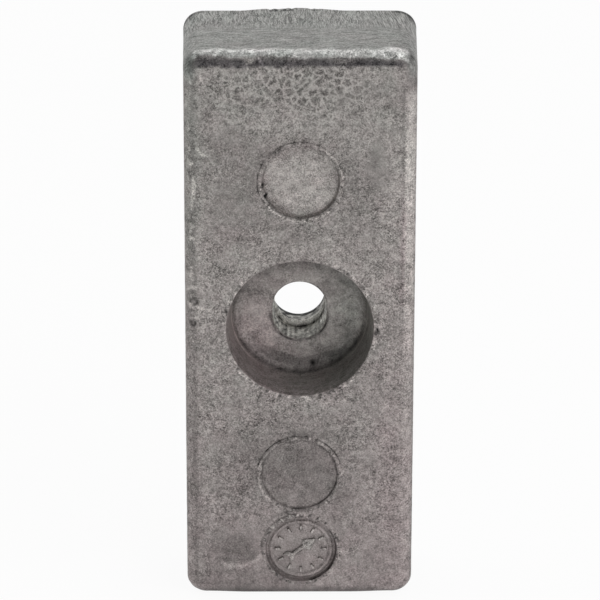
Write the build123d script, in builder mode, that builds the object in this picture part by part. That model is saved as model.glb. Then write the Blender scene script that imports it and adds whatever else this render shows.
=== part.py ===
"""Block sacrificial anode, cast in one piece and bolted through its middle.

The block stands on its square end.  +Z runs up its length, +X to the right, and the
front, with the counterbore for the bolt's head, looks along -Y.  The flat mounting face
is the back.  The origin is under the middle of the block.  Millimetres and degrees.
"""

import os
from math import radians, tan

from build123d import *

# Block
length = 81.0               # at the mounting face, the longest
width = 31.0                # at the mounting face, the widest
thickness = 12.6            # mounting face to front face
side_draft = 0.6            # each long side leans in by this towards the front
gate_end_slope = 6.5        # the gate end falls by this towards the front
corner_radius = 2.7         # the four corners of the outline
front_edge_radius = 1.7     # the soft edge round the front face

# Bolt seat: a drafted counterbore with a blended floor
bolt_height = 40.2          # of the bolt's axis above the square end
counterbore_diameter = 19.6 # at the front face
counterbore_depth = 6.7
counterbore_draft = 7.0
floor_blend_radius = 1.8
mouth_break = 0.2          # the mouth's edge is broken by this

# Bolt hole: cored from both sides, so that a drafted lead-in meets a straight bore
bore_diameter = 6.6         # clears a 6 mm bolt
lead_in_width = 7.6
lead_in_height = 8.2        # the front core was a little taller than wide
lead_in_drop = 0.25         # and sat a little below the bore's axis
lead_in_depth = 3.2         # from the counterbore's floor to the step
lead_in_draft = 3.0
lead_in_break = 0.2

# Marks of the three round mould inserts: (across, up from the square end, disc
# diameter, depth of the disc below the front face)
insert_marks = (
    (0.1, 61.4, 10.2, 0.70),
    (0.0, 18.5, 10.2, 0.25),
    (0.2, 7.1, 9.6, 0.50),
)
insert_draft = 12.0
flash_width = 0.35          # of the ring of flash round each disc
flash_height = 0.15         # above the front face
flash_gap = 0.22            # from the disc's edge to the ring

# Gate scar: what grinding left of the gate, a low crown at the back of the gate end
gate_width = 13.6
gate_crown = 0.4
gate_run = 4.5              # from the mounting face to where the crown dies out
gate_offset = -1.0
gate_root = 1.5             # how deep the crown's blank reaches into the block

same_height = 0.01          # faces and edges closer than this lie in one plane

# Planes: both faces look along -Y, and the flash counts in the depth of the whole
back_plane = Plane.XZ.offset(-(thickness + flash_height) / 2)
front_plane = back_plane.offset(thickness)
floor_plane = front_plane.offset(-counterbore_depth)
front_y = front_plane.origin.Y
floor_y = floor_plane.origin.Y

floor_radius = counterbore_diameter / 2 - counterbore_depth * tan(radians(counterbore_draft))

with BuildPart() as anode:
    # Drafted block
    with BuildSketch(back_plane):
        Rectangle(width, length, align=(Align.CENTER, Align.MIN))
    extrude(amount=thickness)
    draft(anode.faces().filter_by(Axis.X), neutral_plane=back_plane, angle=side_draft)
    draft(anode.faces().sort_by(Axis.Z)[-1], neutral_plane=back_plane, angle=gate_end_slope)
    fillet(anode.edges().group_by(Axis.Y)[1], corner_radius)
    fillet(anode.faces().sort_by(Axis.Y)[0].edges(), front_edge_radius)

    # Gate scar
    with BuildSketch(back_plane):
        with BuildLine():
            left_foot = (gate_offset - gate_width / 2, length)
            right_foot = (gate_offset + gate_width / 2, length)
            ThreePointArc(left_foot, (gate_offset, length + gate_crown), right_foot)
            Polyline(
                right_foot,
                (right_foot[0], length - gate_root),
                (left_foot[0], length - gate_root),
                left_foot,
            )
        make_face()
    crown_angle = gate_end_slope + Vector(gate_run, gate_crown).get_angle(Vector(1, 0))
    extrude(amount=gate_run, taper=crown_angle)

    # Counterbore
    with BuildSketch(Plane.XY.offset(bolt_height)) as seat_profile:
        with BuildLine():
            Polyline(
                (0, front_y),
                (counterbore_diameter / 2, front_y),
                (floor_radius, floor_y),
                (0, floor_y),
                close=True,
            )
        make_face()
        fillet(
            seat_profile.vertices().group_by(Axis.Y)[-1].sort_by(Axis.X)[-1],
            floor_blend_radius,
        )
    revolve(axis=Axis((0, 0, bolt_height), (0, 1, 0)), mode=Mode.SUBTRACT)

    # Bolt hole
    with BuildSketch(floor_plane):
        with Locations((0, bolt_height)):
            Circle(bore_diameter / 2)
    extrude(amount=-thickness, mode=Mode.SUBTRACT)
    with BuildSketch(floor_plane):
        with Locations((0, bolt_height - lead_in_drop)):
            SlotOverall(lead_in_height, lead_in_width, rotation=90)
    extrude(amount=-lead_in_depth, taper=lead_in_draft, mode=Mode.SUBTRACT)

    # Broken edges of the bolt seat
    front_circles = anode.edges().filter_by(GeomType.CIRCLE).filter_by_position(
        Axis.Y, front_y - same_height, front_y + same_height
    )
    chamfer(front_circles.sort_by(SortBy.RADIUS)[-1], mouth_break)
    seat_floor = anode.faces().filter_by_position(
        Axis.Y, floor_y - same_height, floor_y + same_height
    )[0]
    chamfer(seat_floor.inner_wires()[0].edges(), lead_in_break)

    # Insert marks
    for across, up, diameter, depth in insert_marks:
        with BuildSketch(front_plane):
            with Locations((across, up)):
                Circle(diameter / 2 + flash_gap + flash_width)
                Circle(diameter / 2 + flash_gap, mode=Mode.SUBTRACT)
        extrude(amount=flash_height)
        with BuildSketch(front_plane):
            with Locations((across, up)):
                Circle(diameter / 2)
        extrude(amount=-depth, taper=insert_draft, mode=Mode.SUBTRACT)

anode.part.label = "anode"
os.makedirs("parts", exist_ok=True)
export_step(anode.part, "parts/anode.step")
print(f"anode: {anode.part.volume / 1000:.2f} cm3, {len(anode.part.faces())} faces")
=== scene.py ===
"""Looks of a sacrificial anode: one block of cast aluminium alloy, standing on its square end.

Sizes are in millimetres and turned to metres as a mesh is made. +Z runs up the block, +X to
the right, and the front, with the counterbore for the bolt's head, looks along -Y.
"""

from __future__ import annotations

import itertools
import logging
import math
from dataclasses import dataclass, field
from enum import Enum
from functools import partial
from typing import Callable, Optional

import bmesh
import bpy
import numpy as np
from mathutils import Matrix, Vector, geometry

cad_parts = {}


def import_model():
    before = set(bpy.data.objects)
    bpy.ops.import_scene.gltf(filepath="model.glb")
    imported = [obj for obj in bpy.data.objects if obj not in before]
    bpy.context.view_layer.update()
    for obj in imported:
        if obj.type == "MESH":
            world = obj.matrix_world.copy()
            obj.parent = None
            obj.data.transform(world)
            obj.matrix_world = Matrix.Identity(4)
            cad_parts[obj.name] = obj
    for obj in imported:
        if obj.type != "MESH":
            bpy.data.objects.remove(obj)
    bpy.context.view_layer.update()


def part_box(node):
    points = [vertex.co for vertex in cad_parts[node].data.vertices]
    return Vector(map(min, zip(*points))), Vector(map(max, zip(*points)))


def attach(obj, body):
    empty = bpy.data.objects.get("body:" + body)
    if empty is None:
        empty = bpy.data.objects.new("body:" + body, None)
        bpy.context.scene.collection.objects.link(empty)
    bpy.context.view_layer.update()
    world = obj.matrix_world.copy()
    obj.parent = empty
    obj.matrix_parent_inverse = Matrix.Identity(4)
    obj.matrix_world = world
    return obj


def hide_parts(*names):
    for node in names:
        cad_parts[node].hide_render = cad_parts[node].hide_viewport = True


log = logging.getLogger("anode")

MM = 0.001
NODE = "anode"
SLOT = "cast_aluminium"
BODY = "root"
PIECE = "anode_casting"

# Middles of the bolt and of the three round insert marks, as (across, up)
BOLT = (0.0, 40.2)
TOP_MARK = (0.1, 61.4)
MIDDLE_MARK = (0.0, 18.5)
LOW_MARK = (0.2, 7.1)

# An arc that goes all the way round
ROUND = (-180, 180)


# ---------------------------------------------------------------- small helpers


def linear(hex_colour: str) -> tuple[float, float, float, float]:
    """Turns an sRGB hex colour to the linear colour that a shader takes.

    Args:
        hex_colour: such as "#8a8580".

    Returns:
        Linear red, green, blue and an alpha of 1.
    """
    channels = [int(hex_colour[i : i + 2], 16) / 255 for i in (1, 3, 5)]
    lifted = [c / 12.92 if c <= 0.04045 else ((c + 0.055) / 1.055) ** 2.4 for c in channels]
    return (lifted[0], lifted[1], lifted[2], 1.0)


def smooth_step(low: float, high: float, value: np.ndarray) -> np.ndarray:
    """Rises smoothly from 0 at low to 1 at high (or falls, where high is below low)."""
    t = np.clip((value - low) / (high - low), 0.0, 1.0)
    return t * t * (3 - 2 * t)


def columns(*parts: "np.ndarray | float") -> np.ndarray:
    """Sets numbers side by side as rows of coordinates. A single number fills its column."""
    return np.stack(np.broadcast_arrays(*parts), -1)


def bell(value: np.ndarray, middle: float, width: "float | np.ndarray", power: float = 2) -> np.ndarray:
    """1 at the middle, fading to each side. A higher power gives a flatter top."""
    return np.exp(-(((value - middle) / width) ** power))


def lattice_noise(points: np.ndarray, size: float, seed: int) -> np.ndarray:
    """Smooth noise on a lattice, the same each run.

    Args:
        points: one row for each point, with 1 to 3 coordinates.
        size: the lattice's spacing, so about the size of a blob.
        seed: another seed gives another pattern.

    Returns:
        One value from -1 to 1 for each point.
    """
    scaled = np.atleast_2d(points) / size
    cell = np.floor(scaled).astype(np.int64)
    part = scaled - cell
    part = part * part * (3 - 2 * part)
    primes = np.array([73856093, 19349663, 83492791], dtype=np.int64)[: cell.shape[1]]
    total = np.zeros(len(scaled))
    for corner in itertools.product((0, 1), repeat=cell.shape[1]):
        key = ((cell + np.array(corner)) * primes).sum(axis=1) + seed * 2654435761
        key = (key ^ (key >> 13)) * 1274126177 & 0x7FFFFFFF
        key = (key ^ (key >> 11)) * 668265263 & 0x7FFFFFFF
        weight = np.prod(np.where(np.array(corner), part, 1 - part), axis=1)
        total += weight * (key / 0x3FFFFFFF - 1)
    return total


def layered_noise(points: np.ndarray, size: float, seed: int, layers: int = 3) -> np.ndarray:
    """Adds layers of lattice noise, each half as large and half as strong as the last."""
    total = np.zeros(len(points))
    for layer in range(layers):
        total += lattice_noise(points, size / 2**layer, seed + layer) / 2**layer
    return total / 1.75


def patchy(
    points: np.ndarray, size: float, seed: int, middle: float, swing: float, low: float, high: float
) -> np.ndarray:
    """Broken strength along a line or over a patch, so that no mark is even.

    Args:
        points: one row for each point.
        size: of the noise's blobs.
        seed: of the noise.
        middle: the strength that it swings about.
        swing: how far it swings.
        low: the weakest that it gets.
        high: the strongest that it gets.

    Returns:
        The strength at each point.
    """
    return np.clip(middle + swing * layered_noise(points, size, seed), low, high)


# ---------------------------------------------------------------- sizes


@dataclass(frozen=True)
class InsertMark:
    """The round mark that a mould insert leaves: a shallow disc inside a ring of flash."""

    across: float
    up: float
    radius: float
    depth: float
    seed: int
    draft: float = 12.0
    flash_gap: float = 0.22
    flash_width: float = 0.35
    rim_height: float = 0.0
    rim_in: tuple[float, ...] = (0.40, 0.55, 0.90, 1.05)

    def distance(self, across: np.ndarray, up: np.ndarray) -> np.ndarray:
        """Distance of points on the front face from the mark's middle."""
        return np.hypot(across - self.across, up - self.up)

    def floor_radius(self) -> float:
        """Radius of the disc's flat floor, at the foot of its drafted wall."""
        return self.radius - self.depth * math.tan(math.radians(self.draft)) - 0.05

    def ring_radius(self) -> float:
        """Radius of the middle of the ring of flash."""
        return self.radius + self.flash_gap + self.flash_width / 2

    def rows(self) -> tuple[float, ...]:
        """Radii at which the mark's relief needs its own rings of points."""
        ring, half = self.ring_radius(), self.flash_width / 2
        inner = [self.radius - inset for inset in self.rim_in] if self.rim_height else []
        return (
            *inner, self.floor_radius(), self.radius, ring - half, ring, ring + half, ring + half + 0.11
        )

    def inner_rim(self, distance: np.ndarray) -> np.ndarray:
        """Height of the raised rim inside the disc."""
        low, top, foot, far = (self.radius - inset for inset in self.rim_in)
        return self.rim_height * smooth_step(low, top, distance) * smooth_step(far, foot, distance)


@dataclass(frozen=True)
class BlockSizes:
    """Sizes of the casting, in millimetres and degrees. The outer ones come from the frame."""

    width: float
    front_y: float
    back_y: float
    crown_top: float
    length: float = 81.0
    side_draft: float = 0.6
    gate_end_slope: float = 6.5
    corner_radius: float = 2.7
    edge_radius: float = 1.7
    bolt_height: float = BOLT[1]
    mouth_radius: float = 10.0
    mouth_break: float = 0.2
    mouth_chips: float = 0.13
    seat_depth: float = 6.7
    seat_draft: float = 7.0
    blend_radius: float = 1.8
    bore_radius: float = 3.36
    bore_lean: float = 0.14
    exit_radius: float = 3.6
    lead_in_half_width: float = 3.68
    lead_in_half_height: float = 4.2
    lead_in_drop: float = 0.25
    lead_in_depth: float = 3.7
    lead_in_draft: float = 3.0
    lead_in_break: float = 0.2
    flutes: int = 38
    flute_depth: float = 0.09
    flash_height: float = 0.15
    gate_width: float = 13.6
    gate_offset: float = -1.0
    gate_run: float = 4.5
    grinding_loss: float = 0.05
    foot_wear: float = 0.14
    marks: tuple[InsertMark, ...] = (
        InsertMark(*TOP_MARK, 5.1, 0.70, seed=11),
        InsertMark(*MIDDLE_MARK, 5.1, 0.25, seed=12),
        InsertMark(*LOW_MARK, 4.8, 0.50, seed=13, rim_height=0.22),
    )

    @property
    def thickness(self) -> float:
        """Front face to mounting face."""
        return self.back_y - self.front_y

    @property
    def soft_edge(self) -> float:
        """Length of the quarter turn over the front face's soft edge."""
        return self.edge_radius * math.pi / 2

    def from_bolt(self, across: np.ndarray, up: np.ndarray) -> np.ndarray:
        """Distance from the bolt's axis."""
        return np.hypot(across, up - self.bolt_height)

    def flute(self, across: np.ndarray, up: np.ndarray) -> np.ndarray:
        """How far the lead-in's wall stands up in ribs, from 0 to 1, at each place round it."""
        turn = np.arctan2(up - self.bolt_height, across)
        round_it = columns(np.cos(turn), np.sin(turn)) * self.lead_in_half_width
        return 0.5 + 0.5 * np.sin(self.flutes * turn + 2.5 * layered_noise(round_it, 1.5, 111))

    def from_lead_in(self, across: np.ndarray, up: np.ndarray) -> np.ndarray:
        """Distance outside the lead-in's tall outline, below zero inside it."""
        straight = self.lead_in_half_height - self.lead_in_half_width
        off = up - (self.bolt_height - self.lead_in_drop)
        beyond = np.sign(off) * np.clip(np.abs(off) - straight, 0, None)
        return np.hypot(across, beyond) - self.lead_in_half_width

    @classmethod
    def from_frame(cls) -> "BlockSizes":
        """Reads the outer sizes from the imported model."""
        low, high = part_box(NODE)
        flash = cls.flash_height
        return cls(
            width=(high[0] - low[0]) / MM,
            front_y=low[1] / MM + flash,
            back_y=high[1] / MM,
            crown_top=high[2] / MM,
        )


# ---------------------------------------------------------------- outline


class Outline:
    """The block's rounded outline, at any depth between the front and the mounting face."""

    # Outward direction at the start of each straight and each corner, in degrees
    angles = np.array([-90, -90, 0, 0, 90, 90, 180, 180, 270, 270])

    def __init__(self, sizes: BlockSizes) -> None:
        """Works out where each straight and each corner starts along the outline.

        Args:
            sizes: the block's sizes.
        """
        self.sizes = sizes
        radius = sizes.corner_radius
        corner = radius * math.pi / 2
        across = sizes.width - 2 * radius
        up = sizes.length - 2 * radius
        self.lengths = np.array([across / 2, corner, up, corner, across, corner, up, corner, across / 2])
        self.starts = np.concatenate([[0.0], np.cumsum(self.lengths)])
        self.total = float(self.starts[-1])

    def at(self, along: np.ndarray, depth: float) -> tuple[np.ndarray, np.ndarray]:
        """Points of the outline and its outward directions, both as (across, up) rows.

        Args:
            along: distance round the outline, from the middle of the square end.
            depth: 0 at the front face and 1 at the mounting face.

        Returns:
            The points and the unit outward directions.
        """
        s = self.sizes
        lean = (1 - depth) * s.thickness
        half = s.width / 2 - lean * math.tan(math.radians(s.side_draft)) - s.corner_radius
        top = s.length - lean * math.tan(math.radians(s.gate_end_slope)) - s.corner_radius
        low = s.corner_radius
        corners = np.repeat([(half, low), (half, top), (-half, top), (-half, low)], 2, axis=0)
        stops = np.array([(0.0, low), *corners, (0.0, low)])
        run = np.clip(np.searchsorted(self.starts, along, side="right") - 1, 0, len(self.lengths) - 1)
        part = (along - self.starts[run]) / self.lengths[run]
        angle = np.radians(self.angles[run] + (self.angles[run + 1] - self.angles[run]) * part)
        out = columns(np.cos(angle), np.sin(angle))
        middle = stops[run] * (1 - part[:, None]) + stops[run + 1] * part[:, None]
        return middle + out * s.corner_radius, out


# ---------------------------------------------------------------- weathering and painted light


def torn_strength(across: np.ndarray, behind: np.ndarray) -> np.ndarray:
    """Where the gate tore out instead of being ground: ragged strips at the end's back rim.

    Args:
        across: places along X.
        behind: distance in front of the mounting face.

    Returns:
        From 0, ground, to 1, torn.
    """
    wide = smooth_step(-4.5, -4.0, across) * smooth_step(-0.6, -1.0, across)
    narrow = smooth_step(0.9, 1.3, across) * smooth_step(2.7, 2.2, across) * 0.8
    return (wide + narrow) * smooth_step(0.85, 0.45, behind)


@dataclass(frozen=True)
class Blot:
    """A soft patch on the front face: darker, paler, pinker or calmer than the skin round it."""

    across: float
    up: float
    wide: float
    tall: float
    strength: float
    edge: float = 2.0

    def cover(self, across: np.ndarray, up: np.ndarray) -> np.ndarray:
        """How much of the patch lies at each place."""
        far = np.hypot((across - self.across) / self.wide, (up - self.up) / self.tall)
        return self.strength * np.exp(-(far**self.edge))


@dataclass(frozen=True)
class Arc:
    """Part of a ring, such as painted shade in the foot of a round wall or a painted glint along a ring.
    Angles go anticlockwise from +X.
    """

    across: float
    up: float
    radius: float
    half_width: float
    start: float
    end: float
    strength: float

    def cover(self, across: np.ndarray, up: np.ndarray) -> np.ndarray:
        """How much of the arc lies at each place, fading over its last 14 degrees."""
        radius = np.hypot(across - self.across, up - self.up)
        angle = np.degrees(np.arctan2(up - self.up, across - self.across))
        middle, half = (self.start + self.end) / 2, (self.end - self.start) / 2
        away = np.abs((angle - middle + 180) % 360 - 180)
        ring = np.exp(-(((radius - self.radius) / self.half_width) ** 2))
        return self.strength * ring * smooth_step(half, half - 14, away)


@dataclass(frozen=True)
class Scratch:
    """A straight fine line on the front face."""

    start: tuple[float, float]
    end: tuple[float, float]
    half_width: float
    strength: float

    def cover(self, across: np.ndarray, up: np.ndarray) -> np.ndarray:
        """How much of the scratch lies at each place."""
        a, b = np.array(self.start), np.array(self.end)
        along = b - a
        place = columns(across, up) - a
        part = np.clip(place @ along / (along @ along), 0, 1)
        off = np.hypot(*(place - part[:, None] * along).T)
        return self.strength * np.exp(-((off / self.half_width) ** 2))


def blots(*rows: tuple[float, ...]) -> tuple[Blot, ...]:
    """Soft patches, each from a row of its fields: across, up, wide, tall, strength, edge."""
    return tuple(Blot(*row) for row in rows)


def arcs(middle: tuple[float, float], *rows: tuple[float, ...]) -> tuple[Arc, ...]:
    """Arcs round one middle, each from a row: radius, half width, start, end, strength."""
    return tuple(Arc(*middle, *row) for row in rows)


def scratches(*rows: tuple[float, ...]) -> tuple[Scratch, ...]:
    """Scratches, each from a row: from across and up, to across and up, half width, strength."""
    return tuple(Scratch(row[:2], row[2:4], *row[4:]) for row in rows)


@dataclass(frozen=True)
class WeatheringAndPaintedLight:
    """Where the casting is darker, paler, pinker, calmer or veined, by weathering and by painted light and
    shade.
    """

    sizes: BlockSizes
    # Soft patches of tone; the dark strip along the foot, at up 0.3, is painted shade
    stains: tuple = blots(
        (0.0, 20.4, 8.6, 7.4, -0.27, 3.0), (-7.4, 20.0, 2.6, 3.2, -0.10), (6.3, 15.6, 2.4, 3.0, -0.10),
        (-9.4, 7.6, 3.6, 3.0, -0.34, 3.0), (-11.0, 12.4, 1.6, 3.4, 0.10),
        (-9.6, 60.0, 4.2, 9.0, -0.15, 4.0), (7.6, 60.0, 3.2, 8.0, -0.12, 4.0),
        (-12.8, 52.0, 1.1, 11.0, 0.16, 4.0), (-0.3, 53.5, 1.4, 2.0, -0.10),
        (0.0, 71.5, 16.0, 6.5, -0.08, 4.0), (0.0, 6.0, 16.0, 8.0, -0.06, 4.0), (8.4, 67.2, 2.0, 1.8, 0.16),
        (10.3, 63.0, 1.7, 4.6, -0.12, 4.0), (*TOP_MARK, 7.4, 7.0, -0.12, 4.0), (12.0, 52.0, 1.8, 9.0, 0.10),
        (12.2, 33.0, 1.6, 12.0, 0.08), (-12.0, 36.0, 2.0, 12.0, 0.08), (3.5, 52.0, 7.0, 1.4, 0.10),
        (9.8, 47.5, 1.6, 1.8, 0.12), (0.5, 29.0, 5.0, 0.8, 0.06), (8.0, 13.0, 4.0, 4.0, 0.05),
        (0.0, 0.3, 16.0, 1.2, -0.26, 4.0), (-1.0, 69.2, 8.0, 2.2, 0.16), (12.6, 62.0, 1.8, 12.0, 0.13, 4.0),
        (0.3, 59.0, 4.2, 2.4, 0.22), (-8.5, 1.8, 6.0, 1.9, -0.24), (-14.6, 56.0, 0.7, 4.0, -0.10),
        (0.2, 69.6, 0.9, 0.8, 0.14), (-5.0, 60.8, 0.16, 0.24, -1.2), (-4.65, 59.5, 0.20, 0.22, -1.8),
        (3.9, 58.9, 0.6, 0.7, 0.30), (3.6, 58.1, 0.34, 0.16, -0.9), (10.4, 40.2, 0.35, 0.45, -0.6),
        (10.5, 38.4, 0.30, 0.40, -0.5), (10.1, 42.0, 0.30, 0.25, -0.5), (-7.9, 46.5, 0.60, 0.25, -0.5),
    )
    discs: tuple = blots(
        (*TOP_MARK, 4.95, 4.95, 0.36, 16.0), (*MIDDLE_MARK, 5.0, 5.0, -0.12, 16.0),
        (*LOW_MARK, 4.6, 4.6, 0.02, 16.0),
    )
    # Painted shade in the foot of the marks' walls and round two pits, and painted glints along the rings
    # of flash, the dent's lip and the pits' lower rims; also a paler arc above the mouth
    dirt_shade_and_glints: tuple = (
        *arcs(
            TOP_MARK, (5.10, 0.13, -165, -18, -0.60), (5.08, 0.11, -18, 195, -0.45),
            (5.55, 0.15, -150, -40, 1.45), (5.50, 0.14, -40, 62, 1.30), (5.78, 0.10, 142, 200, -0.45),
            (5.78, 0.10, -75, -30, -0.50), (5.50, 0.18, 180, 235, 0.36), (6.3, 0.5, 120, 200, -0.22),
        ),
        *arcs(
            MIDDLE_MARK, (5.08, 0.11, *ROUND, -0.45), (5.10, 0.13, -125, 75, -0.20),
            (5.50, 0.15, 10, 80, 0.50), (5.62, 0.13, 150, 240, 0.95), (5.50, 0.12, 205, 236, 0.90),
            (5.78, 0.10, 118, 172, -0.80), (5.78, 0.10, 18, 74, -0.75), (5.36, 0.10, 140, 250, -0.45),
            (6.3, 0.6, 60, 110, -0.30),
        ),
        *arcs(
            LOW_MARK, (4.80, 0.17, -85, 50, -0.75), (5.05, 0.30, 100, 185, -0.45),
            (5.25, 0.20, -75, 30, 0.22), (4.80, 0.12, *ROUND, -0.40), (4.45, 0.13, *ROUND, -0.28),
            (3.70, 0.13, *ROUND, -0.28),
        ),
        *arcs(BOLT, (11.6, 1.2, 15, 165, 0.13)),
        *arcs((-8.6, 8.9), (4.3, 0.34, -125, -28, 0.62), (3.6, 0.40, -125, -28, -0.22)),
        *arcs((-14.15, 44.2), (0.45, 0.20, *ROUND, -1.10), (0.85, 0.18, 190, 330, 1.00)),
        *arcs((-14.3, 41.1), (0.38, 0.20, *ROUND, -1.10), (0.75, 0.16, -40, 120, 0.90)),
    )
    cracks: tuple = (
        *arcs(TOP_MARK, (5.78, 0.09, 45, 205, -1.0), (5.78, 0.09, -30, 55, -0.7)),
        *arcs(MIDDLE_MARK, (5.78, 0.09, 70, 205, -1.0), (5.78, 0.09, 5, 75, -0.9)),
        *arcs(LOW_MARK, (5.48, 0.09, 60, 190, -0.8)),
    )
    nicks: tuple = scratches(
        (-5.45, 78.85, -5.0, 78.2, 0.15, 3.6), (-5.0, 78.2, -4.5, 77.6, 0.13, 1.0),
        (-7.5, 78.5, -6.8, 77.4, 0.13, 0.7),
    )
    scratches: tuple = scratches(
        (3.96, 63.9, 9.9, 67.5, 0.13, 0.16), (-14.15, 62.1, -14.15, 59.3, 0.24, 1.80),
        (-13.6, 66.3, -12.9, 65.3, 0.16, 0.90), (-12.9, 65.3, -12.2, 65.2, 0.16, 0.90),
        (-12.2, 62.2, -10.9, 62.1, 0.15, 0.90), (-11.5, 63.2, -11.4, 62.1, 0.15, 0.80),
        (-13.2, 76.9, -13.0, 75.7, 0.17, 0.85), (-13.5, 43.3, -11.7, 43.0, 0.19, 0.70),
        (-11.0, 65.2, -6.4, 62.9, 0.12, -0.16), (-3.8, 12.2, -1.0, 13.1, 0.22, -0.55),
        (-0.9, 13.3, 1.0, 13.2, 0.14, -0.55), (0.2, 12.6, 1.9, 12.0, 0.30, 0.40),
        (12.4, 20.6, 13.2, 21.4, 0.12, -0.45), (6.3, 51.5, 9.0, 50.2, 0.14, -0.16),
        (-0.4, 55.5, -0.4, 51.2, 0.25, -0.14), (-1.5, 5.8, 1.9, 8.4, 0.75, -0.22),
    )
    blushes: tuple = blots(
        (0.0, 0.0, 40.0, 24.0, 0.60), (13.0, 18.0, 3.0, 26.0, 0.45), (13.6, 52.0, 0.35, 9.0, 0.7, 4.0),
        (14.2, 75.5, 1.6, 2.6, 0.5), (0.0, 74.0, 30.0, 12.0, -0.25), (-14.6, 62.0, 1.6, 18.0, -0.45, 4.0),
        (-3.2, 65.6, 2.6, 1.6, 0.55), (1.5, 66.6, 3.0, 0.8, 0.5), (-5.0, 61.0, 0.8, 2.5, 0.4),
        (-9.0, 54.0, 2.2, 1.6, 0.45),
    )
    calms: tuple = blots(
        (10.3, 63.6, 1.5, 4.2, 0.9, 4.0), (-8.6, 57.0, 3.6, 5.4, 0.55, 4.0),
        (6.0, 4.0, 9.5, 9.5, 0.55, 4.0), (-6.0, 5.0, 8.0, 6.0, 0.5, 4.0),
        (*MIDDLE_MARK, 5.0, 5.0, 0.35, 8.0), (0.8, 75.0, 8.0, 2.6, 0.35, 4.0),
        (-13.9, 40.0, 1.0, 60.0, 0.2),
    )
    veined: tuple = blots(
        (1.0, 75.4, 9.5, 3.1, 1.0, 4.0), (-10.0, 73.6, 4.5, 4.0, 0.6), (3.0, 70.5, 8.0, 2.4, 0.55),
    )
    # Floor patches: the pale ones to the left and the dark ones to the right are partly painted light and
    # painted shade
    floor_light_and_marks: tuple = blots(
        (-5.6, 39.0, 2.6, 4.0, 0.16), (-5.2, 37.4, 2.4, 2.2, 0.40), (0.0, 34.8, 4.5, 1.0, 0.10),
        (1.8, 32.3, 0.50, 0.45, -0.75), (6.2, 41.5, 1.5, 3.4, 0.14), (-3.4, 45.0, 2.6, 1.6, 0.08),
        (6.8, 37.6, 1.1, 3.0, -0.22), (4.6, 34.0, 1.8, 1.0, -0.25),
    )
    # Painted shade low on the seat's blend
    blend_shade: tuple = arcs(BOLT, (8.3, 1.0, 198, 300, -0.16), (8.3, 0.9, 286, 344, -0.20))
    flecked: tuple = (
        *arcs(BOLT, (10.5, 0.6, 190, 335, 1.0), (10.5, 0.5, -20, 70, 0.9), (10.4, 0.4, 70, 190, 0.5)),
        *arcs(TOP_MARK, (5.6, 0.5, *ROUND, 0.4)),
        *arcs(MIDDLE_MARK, (5.6, 0.5, *ROUND, 0.4)),
        *arcs(LOW_MARK, (5.3, 0.4, *ROUND, 0.3)),
        *blots(
            (-14.2, 58.0, 0.8, 22.0, 0.8, 4.0), (13.6, 55.0, 0.9, 22.0, 0.5, 4.0),
            (-10.5, 46.0, 4.0, 12.0, 0.55), (-8.5, 56.0, 6.0, 12.0, 0.45, 4.0),
            (4.5, 51.5, 7.0, 4.0, 0.40, 4.0), (0.0, 27.5, 13.0, 4.5, 0.45, 4.0),
            (11.0, 44.0, 3.0, 14.0, 0.45),
        ),
    )
    rim_chips: tuple = arcs(
        BOLT, (10.15, 0.28, 195, 330, 0.9), (10.25, 0.35, 10, 75, 0.8), (10.15, 0.25, 110, 178, 0.7),
        (10.30, 0.45, -24, 14, 0.9),
    )

    def masks(self, points: np.ndarray) -> dict[str, np.ndarray]:
        """Works out the weathering and the painted light and shade at each point.

        Args:
            points: places in three dimensions, in millimetres.

        Returns:
            The masks by name.
        """
        s = self.sizes
        across, deep, up = points.T
        bent = across + 0.35 * layered_noise(points, 1.8, 61), up + 0.35 * layered_noise(points, 1.8, 71)
        front = smooth_step(s.front_y + 1.2, s.front_y + 0.75, deep)

        def total(patches: tuple, places: tuple = bent) -> np.ndarray:
            """How much of all the patches lies at each place."""
            return sum((patch.cover(*places) for patch in patches), np.zeros(len(across)))

        straight = (across, up)
        broken = patchy(points, 0.9, 81, 0.85, 0.6, 0.25, 1.3)
        stain = total(self.stains) + total(self.discs, straight) + total(self.dirt_shade_and_glints, straight) * broken
        stain += total(self.scratches, straight) * broken
        stain += total(self.cracks, straight) * smooth_step(-0.5, 0.6, layered_noise(points, 0.8, 84))
        chips = layered_noise(points, 0.45, 83, 2)
        chipped = 1.5 * smooth_step(0.0, 0.3, chips) - 1.1 * smooth_step(-0.05, -0.35, chips)
        stain += total(self.rim_chips, straight) * chipped
        stain *= front
        stain += self.edge_light_shade_and_wear(points, front) + self.gate_shade_and_dirt(points)
        stain += total(self.nicks, straight) * self.on_soft_edge(deep)
        seat = self.seat_masks(points)
        return {
            "stain": stain + seat["stain"],
            "blush": total(self.blushes) * front + seat["blush"],
            "calm": np.clip(total(self.calms), 0, 1) * front,
            "vein": np.clip(total(self.veined), 0, 1) * front,
            "fleck": np.clip(total(self.flecked), 0, 1) * front,
            "plain": self.plain(points),
        }

    def on_soft_edge(self, deep: np.ndarray) -> np.ndarray:
        """1 on the front face and its soft edge, 0 on the sides."""
        return smooth_step(self.sizes.front_y + 3.4, self.sizes.front_y + 1.2, deep)

    def edge_light_shade_and_wear(self, points: np.ndarray, front: np.ndarray) -> np.ndarray:
        """Painted light and shade along the two long edges and the foot, with wear.

        Args:
            points: places in millimetres.
            front: 1 on the front face, 0 on the sides.

        Returns:
            The stain at each point.
        """
        s = self.sizes
        across, deep, up = points.T
        stain = np.zeros(len(across))
        ends = smooth_step(0.6, 4.0, up) * smooth_step(s.length - 3.6, s.length - 6.5, up)
        ragged = 0.22 * layered_noise(points, 1.3, 91) + 0.10 * layered_noise(points, 0.4, 92, 2)
        in_from_right = s.width / 2 - across
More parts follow.
